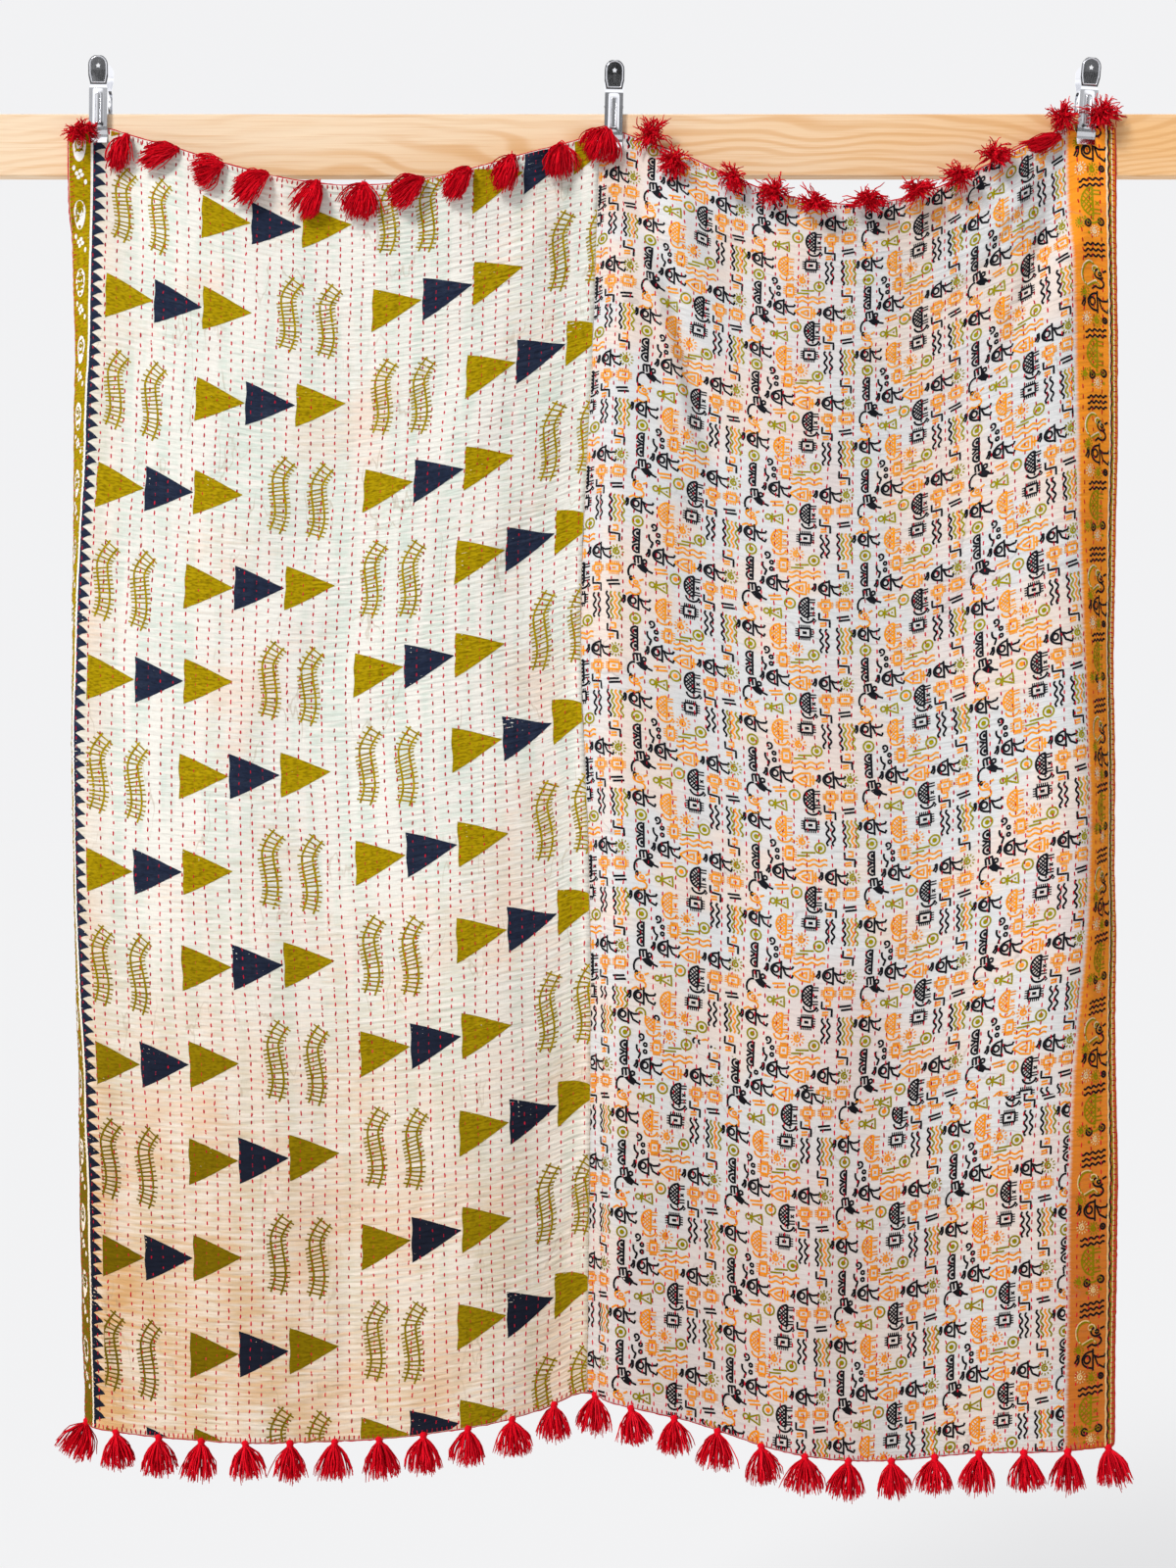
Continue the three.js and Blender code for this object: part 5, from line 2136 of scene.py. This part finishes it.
class ArrowPrint:
    """The cream panel's print: trios of arrowheads and pairs of crooked ladders."""

    ROW = 138.0
    COLUMN = 392.0
    SHIFT = -141.0
    LEAN = -1.2
    SLANT = -0.062
    FIRST = (205.0, 96.0)
    TOP_SKEW = -0.09
    SKEW_MIDDLE = 300.0
    SKEW_REACH = 260.0
    HEAD_WIDE = 71.0
    HEAD_TALL = 66.0
    HEAD_STEP = 73.0
    LADDER_TALL = 108.0
    RAIL_GAP = 15.5
    RUNG_HALF = 14.5
    RUNGS = 17

    def arrowhead(self, art: Art, ink: Ink, x: float, y: float) -> None:
        """A filled triangle pointing right, with hand-cut sides.

        Args:
            art: the work to add to.
            ink: the ink.
            x: its left side.
            y: its middle.
        """
        along_head, over_head = np.meshgrid(np.linspace(0.0, 1.0, 20), np.linspace(-1.0, 1.0, 26))
        half = self.HEAD_TALL / 2 * (1 - 0.985 * along_head) * (1 + 0.06 * np.sin(np.pi * along_head))
        wobble = 0.7 * np.sin(5.0 * over_head + x) * (1 - along_head)
        grid = np.stack([x + along_head * self.HEAD_WIDE + wobble, y + over_head * half], axis=-1)
        art.sheet(ink, grid)

    def ladder(self, art: Art, x: float, y: float) -> None:
        """Two rails along a crooked line with rungs across them.

        Args:
            art: the work to add to.
            x: the line's middle.
            y: the ladder's top.
        """
        share = np.linspace(0.0, 1.0, 38)
        early = np.clip(1 - share / 0.28, 0, 1) ** 1.5
        late = np.clip((share - 0.76) / 0.24, 0, 1) ** 1.5
        bend = 14.0 * early - 4.0 * late
        line = np.stack([x + bend - 3.0 * np.sin(2 * np.pi * share), y + self.LADDER_TALL * share], axis=1)
        heading = unit(np.gradient(line, axis=0))
        aside = np.stack([heading[:, 1], -heading[:, 0]], axis=1)
        for side in (-0.5, 0.5):
            art.stroke(Ink.OLIVE, line + aside * side * self.RAIL_GAP, 2.9)
        for rung in np.linspace(1.2, 35.8, self.RUNGS):
            number = int(rung)
            tilt = heading[number] * 1.6 * np.sin(3.1 * rung + x)
            half = aside[number] * self.RUNG_HALF
            rung_line = along(line[number] - half - tilt, line[number] + half + tilt, step=4.0)
            art.stroke(Ink.OLIVE, rung_line, 2.15)

    def repeat(self) -> Art:
        """One trio with the ladder pair that follows it.

        Returns:
            The repeat's art.
        """
        art = Art()
        for number, ink in enumerate((Ink.OLIVE, Ink.NAVY, Ink.OLIVE)):
            self.arrowhead(art, ink, number * self.HEAD_STEP, 0.0)
        self.ladder(art, 270.0, -54.0)
        self.ladder(art, 326.0, -43.0)
        return art

    def art(self) -> Art:
        """The whole print, up to the seam and clear of the border.

        Returns:
            The print's art.
        """
        places = []
        for row in range(-2, 16):
            start = self.FIRST[0] + row * self.LEAN + (self.SHIFT if row % 2 else 0.0)
            across = start + self.COLUMN * np.arange(-2, 3)
            places.append(np.stack([across, np.full(5, self.FIRST[1] + row * self.ROW)], axis=1))
        whole = self.repeat().stamped(np.concatenate(places), self.SLANT)
        return whole.trimmed(self._hold)

    def _hold(self, points: Array) -> Array:
        """Points skewed with the cloth's uneven top, and kept between the border and the seam.

        Args:
            points: places on the cloth.

        Returns:
            The places kept there.
        """
        skew = self.TOP_SKEW * (points[:, 0] - self.SKEW_MIDDLE) * np.exp(-points[:, 1] / self.SKEW_REACH)
        across = np.clip(points[:, 0], ToothBorder.TOOTH_TIP + 1.0, SIZE.left_width - 0.6)
        return np.stack([across, np.clip(points[:, 1] + skew, 1.0, SIZE.length - 1.0)], axis=1)


class ToothBorder:
    """The left border: an olive strip with white flowers, then a white line and a row of navy teeth."""

    STRIP = 35.0
    WHITE_LINE = (36.8, 3.6)
    NAVY_LINE = (40.4, 3.6)
    TOOTH_BASE = 41.5
    TOOTH_TIP = 58.0
    TOOTH_PITCH = 17.3
    FLOWER_PITCH = 96.0

    def ground(self) -> Art:
        """The strip, the lines and the teeth.

        Returns:
            Their art.
        """
        art = Art()
        across, drop = np.meshgrid(np.linspace(0.6, self.STRIP, 12), np.linspace(0.6, SIZE.length - 0.6, 620))
        art.sheet(Ink.OLIVE, np.stack([across, drop], axis=-1))
        for ink, (middle, width) in ((Ink.WHITE, self.WHITE_LINE), (Ink.NAVY, self.NAVY_LINE)):
            art.stroke(ink, along((middle, 0.6), (middle, SIZE.length - 0.6)), width)
        tooth = Art()
        out, over = np.meshgrid(np.linspace(0.0, 1.0, 6), np.linspace(-1.0, 1.0, 6))
        half = self.TOOTH_PITCH * 0.5 * (1 - 0.98 * out) ** 0.9
        tip = self.TOOTH_BASE + out * (self.TOOTH_TIP - self.TOOTH_BASE)
        tooth.sheet(Ink.NAVY, np.stack([tip, over * half + 2.4 * out**2 - 1.8 * out * (1 - out)], axis=-1))
        art.join(self._run_down(tooth, self.TOOTH_PITCH, 0.5))
        return art

    @staticmethod
    def _run_down(art: Art, pitch: float, shift: float = 0.0) -> Art:
        """Work repeated down the whole border, a pitch apart."""
        count = int(SIZE.length / pitch)
        return art.stamped(np.stack([np.zeros(count), (np.arange(count) + shift) * pitch], axis=1))

    def flowers(self) -> Art:
        """White paisleys and small flowers down the strip.

        Returns:
            Their art.
        """
        art = Art()
        pen = Pen(art, Ink.WHITE, 17.0, 26.0)
        turn = np.linspace(0.0, 2 * np.pi, 26)
        reach = 11.0 + 5.0 * np.clip(np.sin(turn), 0, 1) ** 3
        leaf = np.stack([reach * np.cos(turn) * 0.95, reach * 1.5 * np.sin(turn)], axis=1) + [17.0, 24.0]
        art.fill(Ink.WHITE, leaf)
        for petal in np.radians((20, 110, 200, 290)):
            pen.blot(4.6 * np.cos(petal), 40 + 4.6 * np.sin(petal), 3.2, 3.2)
        pen.blot(-9, 30, 2.6, 4)
        pen.blot(10, 52, 2.6, 4)
        return self._run_down(art, self.FLOWER_PITCH)

    def veins(self) -> Art:
        """Olive lines inside the paisleys.

        Returns:
            Their art.
        """
        art = Art()
        pen = Pen(art, Ink.OLIVE, 17.0, 22.0, 0.9)
        pen.arc(0, 2, 6.5, 10)
        pen.arc(0, 0, 2.4, 2.6)
        pen.arc(0, 14, 7, 5, 200, 340)
        return self._run_down(art, self.FLOWER_PITCH)


class Seating(NamedTuple):
    """Where a tassel is sewn: its node, its seat, its axis along the skirt and the directions across it."""

    node: str
    seat: Array
    axis: Array
    side: Array
    facing: Array


class Strands(NamedTuple):
    """A skirt's strands in the tassel's own directions (aside, forward, along)."""

    roots: Array
    bends: Array
    tips: Array


@dataclass(frozen=True)
class TasselMaker:
    """Ties tassels: a bound head and a skirt of loose strands."""

    drape: Drape
    material: Material
    hem_strands: int = 104
    top_strands: int = 138
    clumps: int = 11
    rings: int = 6
    sides: int = 16
    strand_radius: float = 0.96
    head_radius: float = 5.4
    head_length: float = 9.0
    neck: float = 4.4
    root_rise: float = 3.0

    HEM_SEED = 700
    TOP_SEED = 300
    TOP_DROP = 6.0
    TOP_SWING = 2.2
    HEM_SWING = 1.5
    END_SWINGS = {1: 18.0, 25: -17.0}
    HEAD_SHARES = (0.0, 0.05, 0.16, 0.34, 0.5, 0.6, 0.68, 0.76, 0.84, 0.92, 1.0)
    HEAD_REACHES = (0.01, 0.55, 0.85, 1.0, 0.98, 0.84, 0.94, 0.84, 0.94, 0.86, 1.0)

    def head(self, seating: Seating, over: float) -> tuple[Array, Array]:
        """A bound head: a profile turned about the axis, ribbed by the yarn and ringed at the neck.

        Args:
            seating: where the tassel is sewn.
            over: how far the head reaches above its seat.

        Returns:
            Points and quads.
        """
        share = np.array(self.HEAD_SHARES)[:, None]
        drop = share * (self.head_length + over) - over
        turn = np.linspace(0.0, 2 * np.pi, self.sides + 1)[:-1]
        ribs = np.where(share < 0.55, 1 + 0.07 * np.cos(8 * turn), 1.0)
        radius = np.array(self.HEAD_REACHES)[:, None] * self.head_radius * ribs
        points = (
            seating.seat
            + drop[..., None] * seating.axis
            + (radius * np.cos(turn))[..., None] * seating.side
            + (radius * np.sin(turn))[..., None] * seating.facing
        )
        number = np.arange(radius.size).reshape(radius.shape)
        after = np.roll(number, -1, axis=1)
        return points.reshape(-1, 3), faces_of(number[:-1], after[:-1], after[1:], number[1:])

    def hang(self, seating: Seating, strands: Strands, sag: float, swing: float, rng: Random) -> Array:
        """Paths of strands: curves from root to tip drawn to their bends, waving and pulled down by weight.

        Args:
            seating: where the tassel is sewn.
            strands: the strands.
            sag: how far the tips are pulled down.
            swing: how far a strand waves to each side.
            rng: source of their waves.

        Returns:
            (strands, rings, 3) points.
        """
        share = np.linspace(0.0, 1.0, self.rings)[None, :, None]
        roots, bends, tips = (ends[:, None] for ends in strands)
        paths = (1 - share) ** 2 * roots + 2 * share * (1 - share) * bends + share**2 * tips
        phase = rng.uniform(0, 2 * np.pi, roots.shape)
        pace = rng.uniform(4.0, 10.0, roots.shape)
        waves = np.sin(phase + pace * share) * rng.uniform(0.4, 1.4, (len(roots), 1, 1))
        paths = paths + swing * np.sqrt(share) * waves
        points = seating.seat + paths @ np.stack([seating.side, seating.facing, seating.axis])
        points[..., 2] -= sag * share[..., 0] ** 2
        return points

    def tubes(self, paths: Array) -> tuple[Array, Array, Array]:
        """Three-sided strands along paths, drawn to a blunt tip.

        Args:
            paths: (strands, rings, 3) points.

        Returns:
            Points, quads and end triangles.
        """
        heading = unit(np.gradient(paths, axis=1))
        first = unit(np.cross(heading, np.array([0.31, 0.83, 0.46])))
        second = np.cross(heading, first)
        turn = np.arange(3) * 2 * np.pi / 3
        taper = self.strand_radius * np.interp(np.linspace(0, 1, self.rings), [0, 0.8, 1], [1.0, 1.0, 0.6])
        ring = np.cos(turn)[:, None] * first[:, :, None] + np.sin(turn)[:, None] * second[:, :, None]
        points = paths[:, :, None] + taper[None, :, None, None] * ring
        number = np.arange(paths.size).reshape(paths.shape)
        after = np.roll(number, -1, axis=2)
        quads = faces_of(number[:, :-1], after[:, :-1], after[:, 1:], number[:, 1:])
        return points.reshape(-1, 3), quads, np.concatenate([number[:, 0, ::-1], number[:, -1]])

    def tie(self, seating: Seating, paths: Array, over: float, rng: Random) -> Piece:
        """Joins head and skirt into one piece that stands for its node.

        Args:
            seating: where the tassel is sewn.
            paths: the strands' paths.
            over: how far the head reaches above its seat.
            rng: source of the strands' shades.

        Returns:
            The tassel.
        """
        head_points, head_quads = self.head(seating, over)
        skirt_points, skirt_quads, ends = self.tubes(paths)
        points, quads = merged([(head_points, head_quads), (skirt_points, skirt_quads)])
        shades = np.repeat(rng.random(len(paths)), self.rings * 3)
        marks = {STRAND_MARK: np.concatenate([np.full(len(head_points), 0.5), shades])}
        faces = [quads, ends + len(head_points)]
        made = make_piece(f"{seating.node}_yarn", points, faces, [self.material], marks=marks)
        return seat(made, Slot.YARN, [seating.node])

    def fan(self, reach: Pair, long: float, rng: Random) -> Strands:
        """A hem tassel's strands: they leave the neck in all directions and flare into a bell.

        Args:
            reach: the skirt's half width and half depth at its tips.
            long: how far the tips hang below the neck.
            rng: source of their spread.

        Returns:
            The strands.
        """
        count = self.hem_strands
        bearing = rng.uniform(0, 2 * np.pi, count)
        spread = np.sqrt(rng.uniform(0.0, 1.0, count))
        stray = np.where(rng.random(count) < 0.05, 1.25, 1.0)
        out = np.stack([np.cos(bearing), np.sin(bearing)], axis=1) * spread[:, None]
        hang = (rng.normal(long, 0.06 * long, count) * (1 - 0.2 * spread**2))[:, None]
        flare = out * np.array(reach) * stray[:, None]
        root = np.full((count, 1), self.head_length - self.root_rise)
        levels = ((out * self.neck, root), (flare * 0.84, root + 0.36 * hang), (flare, root + hang))
        return Strands(*(np.concatenate(level, axis=1) for level in levels))

    def mop(self, row: TopTassel, rng: Random) -> Strands:
        """A top tassel's strands: in a few clumps they rise over the head and tumble along the aim.

        Args:
            row: the tassel's half width and length.
            rng: source of their spread.

        Returns:
            The strands.
        """
        count = self.top_strands
        clump = rng.integers(0, self.clumps, count)
        aside = rng.uniform(-1.0, 1.0, self.clumps)[clump] * 0.72 + rng.normal(0.0, 0.22, count)
        rise = rng.uniform(0.2, 1.0, self.clumps)[clump] * 0.7 + rng.uniform(0.0, 0.4, count)
        hang = row.long * (rng.uniform(0.84, 1.12, self.clumps)[clump] + rng.normal(0.0, 0.07, count))
        hang = hang * (1 - 0.22 * aside**2)
        roots = rng.normal(0.0, 2.0, (count, 3)) + [0.0, 0.0, 2.0]
        bends = np.stack([aside * row.wide * 0.95, 21 * rise, 0.3 * hang], axis=1)
        return Strands(roots, bends, np.stack([aside * row.wide, 13 * rise - 4, hang], axis=1))

    def burst(self, row: TopTassel, rng: Random) -> Strands:
        """Strands that stand out in clumps all round and forward from a flattened tassel, a few of them long.

        Args:
            row: the tassel's half width and length.
            rng: source of their headings.

        Returns:
            The strands.
        """
        count = self.top_strands
        clumps = 2 * self.clumps
        clump = rng.integers(0, clumps, count)
        bearing = rng.uniform(0, 2 * np.pi, clumps)[clump] + rng.normal(0.0, 0.3, count)
        low = rng.uniform(0.0, 1.0, clumps)[clump] ** 0.4 + rng.normal(0.0, 0.12, count)
        low = np.clip(low, 0.0, 1.0)
        stray = np.where(rng.random(count) < 0.05, 1.3, 1.0)
        length = rng.uniform(0.62, 1.06, count) * stray
        ahead = 24 * np.sqrt(1 - low**2)
        heading = np.stack([low * np.cos(bearing) * row.wide, ahead, low * np.sin(bearing) * row.long])
        tips = (heading * length).T
        bends = tips * 0.55 + rng.normal(0.0, 4.0, (count, 3)) + [0.0, 5.0, 0.0]
        return Strands(rng.normal(0.0, 2.8, (count, 3)), bends, tips)

    def hem(self, number: int, across: float) -> Piece:
        """A hem tassel: hangs from the edge with its skirt open all round.

        Args:
            number: its number from the left.
            across: its place across the cloth.

        Returns:
            The tassel.
        """
        rng = np.random.default_rng(self.HEM_SEED + number)
        point, _ = self.drape.at(across, SIZE.length)
        swing = np.radians(6.0 * np.sin(number * 2.1) + self.END_SWINGS.get(number, 0.0))
        axis = np.array([-np.sin(swing), 0.0, -np.cos(swing)])
        side = np.array([np.cos(swing), 0.0, -np.sin(swing)])
        seating = Seating(f"tassel_hem_{number:02d}", point, axis, side, np.array([0.0, -1.0, 0.0]))
        reach = (rng.uniform(26.0, 31.0), 20.0)
        strands = self.fan(reach, rng.uniform(46.0, 52.0), rng)
        return self.tie(seating, self.hang(seating, strands, 0.0, self.HEM_SWING, rng), 4.0, rng)

    def top(self, number: int, row: TopTassel) -> Piece:
        """A top tassel: sewn at the edge, it tumbles over the front of the cloth or bursts open there.

        Args:
            number: its number from the left.
            row: its place, aim and shape.

        Returns:
            The tassel.
        """
        rng = np.random.default_rng(self.TOP_SEED + number)
        node = f"tassel_top_{number:02d}"
        point, normal = self.drape.at(row.across, self.TOP_DROP)
        before, after = (self.drape.at(row.across + step, self.TOP_DROP)[0] for step in (-10.0, 10.0))
        right = unit(after - before)
        down = np.cross(right, normal)
        base = point + normal * (HALF + self.head_radius) - down * row.rise
        if row.aim is None:
            seating = Seating(node, base, down, right, normal)
            paths = self.hang(seating, self.burst(row, rng), 3.0, self.TOP_SWING, rng)
        else:
            aim = np.radians(row.aim)
            heading = np.array([np.sin(aim), 0.0, -np.cos(aim)])
            axis = unit(heading - normal * (heading @ normal))
            seating = Seating(node, base, axis, np.cross(axis, normal), normal)
            paths = self.hang(seating, self.mop(row, rng), 4.0, self.TOP_SWING, rng)
        floor = HALF + 1.6 + rng.uniform(0.0, 7.0, (len(paths), 1))
        short = np.maximum(0.0, floor - (paths - point) @ normal)
        return self.tie(seating, paths + short[..., None] * normal, 1.0, rng)


@dataclass(frozen=True)
class ClipTrim:
    """Pressed work on a clip's leaves: beads round handle and groove, and the shank's rounded face."""

    grip: Grip
    drape: Drape
    material: Material
    heights: tuple[float, ...] = (19, 24, 79, 84, 104, 124)
    outs: tuple[float, ...] = (15.6, 16.4, 16.4, 15.5, 18.5, 20.0)
    half_sheet: float = 0.6
    sunk: float = 0.15
    bead: float = 1.0
    handle_radius: float = 11.6
    handle_middle: float = 111.0
    handle_bend: float = 98.0
    neck_height: float = 87.0
    neck_half: float = 9.2
    groove_half: float = 3.6
    groove_bottom: float = 29.0
    groove_top: float = 68.0
    shank_half: float = 8.4
    shank_bottom: float = 22.0
    shank_top: float = 79.0
    shank_swell: float = 1.2
    shank_fade: float = 5.0

    ROWS = 14
    COLUMNS = 15

    def build(self) -> Piece:
        """Makes the pressed work of both leaves.

        Returns:
            The beads and faces as one piece.
        """
        arch = np.radians(np.linspace(0, 180, 19))
        over = np.stack([np.cos(arch), np.sin(arch)], axis=1)
        neck = (self.neck_half, self.neck_height)
        bend = (self.handle_radius, self.handle_bend)
        foot = (self.groove_half, self.groove_bottom)
        crown = over * self.handle_radius + [0.0, self.handle_middle]
        handle = np.concatenate([crown, along((-bend[0], bend[1]), (-neck[0], neck[1]), neck, bend)])
        crown = over * self.groove_half + [0.0, self.groove_top]
        groove = np.concatenate([crown, along((-foot[0], foot[1]), foot)])
        wide = np.linspace(-self.shank_half, self.shank_half, self.COLUMNS)
        tall = np.linspace(self.shank_top, self.shank_bottom, self.ROWS)
        face = np.stack(np.meshgrid(wide, tall), axis=-1).reshape(-1, 2)
        shapes = []
        for leaf in (-1.0, 1.0):
            shapes += [tube_loop(self._placed(loop, leaf), self.bead) for loop in (handle, groove)]
            shapes.append((self._placed(face, leaf, self.sunk), grid_quads(self.ROWS, self.COLUMNS)))
        points, faces = merged(shapes)
        return make_piece(f"clip_{self.grip.name}_pressed", points, [faces], [self.material])

    def _swell(self, aside: Array, height: Array) -> Array:
        """Height of the shank's rounded face: a parabola across it that eases to nought at both ends."""
        near = np.minimum(height - self.shank_bottom, self.shank_top - height) / self.shank_fade
        return self.shank_swell * np.clip(1 - (aside / self.shank_half) ** 2, 0.0, 1.0) * ease(near)

    def _placed(self, flat: Array, leaf: float, sunk: float = 0.0) -> Array:
        """Places of (aside, height) on a leaf's outer face, leaning with its clip.

        Args:
            flat: the places.
            leaf: -1 for the front leaf and 1 for the back one.
            sunk: how deep they lie in the face.

        Returns:
            The points.
        """
        lean = np.radians(self.grip.lean)
        middle, _ = self.drape.at(self.grip.across, 0.0)
        aside = flat[:, 0] * -leaf
        height = flat[:, 1]
        face = np.interp(height, self.heights, self.outs) + self.half_sheet
        out = face + self._swell(aside, height) - sunk
        x = middle[0] + aside * np.cos(lean) + height * np.sin(lean)
        z = self.grip.lip - aside * np.sin(lean) + height * np.cos(lean)
        return np.stack([x, -SIZE.rail_thickness / 2 + leaf * out, z], axis=1)


@dataclass(frozen=True)
class Stage:
    """A pale floor, even pale surroundings and one broad soft light, with the camera square to the quilt."""

    camera_place: Triple = (0.0, -3.133, -0.9135)
    lens: float = 50.0
    sensor: float = 36.0
    floor_height: float = -2.6
    floor_half: float = 60.0
    floor_share: float = 0.2
    backdrop: float = 0.9
    ambient: float = 0.3
    sheen: Pair = (0.02, 1.5)
    sun_strength: float = 3.0
    sun_angle: float = 16.0
    sun_turn: Pair = (51.0, -42.0)

    def build(self) -> None:
        """Makes the camera, the lights and the floor."""
        scene = bpy.context.scene
        scene.view_settings.view_transform = "Standard"
        data = bpy.data.cameras.new("camera")
        data.lens = self.lens
        data.sensor_width = self.sensor
        data.clip_end = 200.0
        camera = bpy.data.objects.new("camera", data)
        camera.location = self.camera_place
        camera.rotation_euler = (np.pi / 2, 0.0, 0.0)
        scene.collection.objects.link(camera)
        scene.camera = camera

        sun = bpy.data.lights.new("window_light", "SUN")
        sun.energy = self.sun_strength
        sun.angle = np.radians(self.sun_angle)
        lamp = bpy.data.objects.new("window_light", sun)
        lamp.rotation_euler = (np.radians(self.sun_turn[0]), 0.0, np.radians(self.sun_turn[1]))
        scene.collection.objects.link(lamp)
        self._surround(scene)
        self._floor()

    def _surround(self, scene: bpy.types.Scene) -> None:
        """A pale room: it lights the part less than it shows, and bright metal mirrors its dark near side.

        Args:
            scene: Blender's scene.
        """
        world = bpy.data.worlds.new("pale_room")
        world.use_nodes = True
        scene.world = world
        nodes = world.node_tree.nodes
        links = world.node_tree.links
        background = nodes["Background"]
        background.inputs["Color"].default_value = (0.985, 0.987, 1.0, 1.0)
        rays = nodes.new("ShaderNodeLightPath")
        heading = nodes.new("ShaderNodeTexCoord")
        axes = nodes.new("ShaderNodeSeparateXYZ")
        links.new(heading.outputs["Generated"], axes.inputs[0])
        room = nodes.new("ShaderNodeMapRange")
        room.interpolation_type = "SMOOTHSTEP"
        for socket, value in zip(("From Min", "From Max", "To Min", "To Max"), (-0.985, -0.86, *self.sheen)):
            room.inputs[socket].default_value = value
        links.new(axes.outputs["Y"], room.inputs["Value"])
        lit = nodes.new("ShaderNodeMix")
        shown = nodes.new("ShaderNodeMix")
        lit.inputs[2].default_value = self.ambient
        shown.inputs[2].default_value = self.ambient
        shown.inputs[3].default_value = self.backdrop
        links.new(rays.outputs["Is Glossy Ray"], lit.inputs[0])
        links.new(room.outputs["Result"], lit.inputs[3])
        links.new(rays.outputs["Is Camera Ray"], shown.inputs[0])
        links.new(lit.outputs[0], shown.inputs[2])
        links.new(shown.outputs[0], background.inputs["Strength"])

    def _floor(self) -> None:
        """A broad level floor whose shade meets the surroundings without a line."""
        corners = np.array([[-1, -1, 1], [1, -1, 1], [1, 1, 1], [-1, 1, 1]])
        points = corners * [self.floor_half / MM, self.floor_half / MM, self.floor_height / MM]
        lit = self.ambient + self.sun_strength * np.cos(np.radians(self.sun_turn[0])) / np.pi
        finish = PaintFinish(self.floor_share, self.backdrop - self.floor_share * lit)
        make_piece("floor", points, [np.array([[0, 1, 2, 3]])], [finish.material()])


CREAM_INKS = {
    Ink.OLIVE: InkFinish(
        "olive_deep", shade(168, 142, 4), shade(188, 160, 16), shade(92, 72, 2), 0.6, 0.56, 0.4, 0.45
    ),
    Ink.NAVY: InkFinish("navy", shade(34, 42, 62), shade(56, 64, 82), shade(22, 24, 34)),
    Ink.WHITE: InkFinish("white_cream", shade(242, 242, 240), shade(224, 222, 212), shade(232, 214, 190)),
}
GREY_INKS = {
    Ink.BLACK: InkFinish("black", shade(22, 24, 30), shade(48, 48, 54), shade(20, 18, 20)),
    Ink.ORANGE: InkFinish("orange", shade(240, 151, 32), shade(241, 177, 94), shade(214, 124, 20)),
    Ink.OLIVE: InkFinish("olive_bright", shade(150, 142, 6), shade(176, 164, 54), shade(122, 108, 4)),
    Ink.WHITE: InkFinish("white_grey", shade(238, 226, 196), shade(232, 204, 150), shade(208, 172, 112)),
}


def build_quilt(drape: Drape) -> None:
    """Args:
        drape: the hung cloth.
    """
    quilt = Quilt(drape)
    backing = Backing().material()
    rim = Rim().material()
    left = seat(quilt.left.build([CreamCloth().material(), backing, rim]), Slot.CREAM, ["panel_left"])
    right = seat(quilt.right.build([GreyCloth().material(), backing, rim]), Slot.GREY, ["panel_right"])

    cream_inks, grey_inks = (
        {ink: finish.material() for ink, finish in inks.items()} for inks in (CREAM_INKS, GREY_INKS)
    )
    cream_print = Printing(quilt.left, Slot.CREAM, cream_inks)
    grey_print = Printing(quilt.right, Slot.GREY, grey_inks)
    tooth = ToothBorder()
    on_left = cream_print.build("arrow_print", ArrowPrint().art())
    on_left += cream_print.build("tooth_border", tooth.ground())
    on_left += cream_print.build("border_flower", tooth.flowers(), 0.22)
    on_left += cream_print.build("border_vein", tooth.veins(), 0.5)
    on_right = grey_print.build("folk_print", FolkPrint().art())
    on_right += grey_print.build("orange_border", OrangeBorder().art())

    thread = YarnFinish("red_thread", shade(204, 12, 40), shade(160, 8, 34), shade(220, 52, 78)).material()
    yarn = YarnFinish("crimson_yarn", shade(230, 8, 32), shade(184, 4, 24), shade(240, 38, 58)).material()
    on_left.append(seat(RunningStitch(quilt.left, "stitches_left", 21, thread).build(), Slot.YARN))
    on_right.append(seat(RunningStitch(quilt.right, "stitches_right", 22, thread).build(), Slot.YARN))
    on_left.append(seat(EdgeStitch(quilt, thread).build(), Slot.YARN))

    maker = TasselMaker(drape, yarn)
    hem_places = np.linspace(HEM_INSET, SIZE.width - HEM_INSET, HEM_TASSELS)
    tassels = [(row.across, maker.top(number + 1, row)) for number, row in enumerate(TOP_TASSELS)]
    tassels += [(across, maker.hem(number + 1, across)) for number, across in enumerate(hem_places)]
    on_left += [tassel for across, tassel in tassels if across < SIZE.left_width]
    on_right += [tassel for across, tassel in tassels if across >= SIZE.left_width]


def dress_nodes(nodes: dict[str, Piece], drape: Drape) -> None:
    """Gives the rail and the clips their finishes, and the clips their pressed work.

    Args:
        nodes: the part's nodes by name.
        drape: the hung cloth.
    """
    wood = WoodFinish().material()
    steel = SteelFinish().material()
    for grip in GRIPS:
        seat(ClipTrim(grip, drape, steel).build(), Slot.STEEL)
    for name, node in nodes.items():
        if name == "rail" or name.startswith("clip_"):
            node.data.materials.clear()
            node.data.materials.append(wood if name == "rail" else steel)


def main() -> None:
    """Loads the part and dresses it."""
    logging.basicConfig(level=logging.INFO, format="%(message)s")
    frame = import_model()
    Stage().build()
    drape = Drape()
    dress_nodes(frame["nodes"], drape)
    build_quilt(drape)


if __name__ == "__main__":
    main()
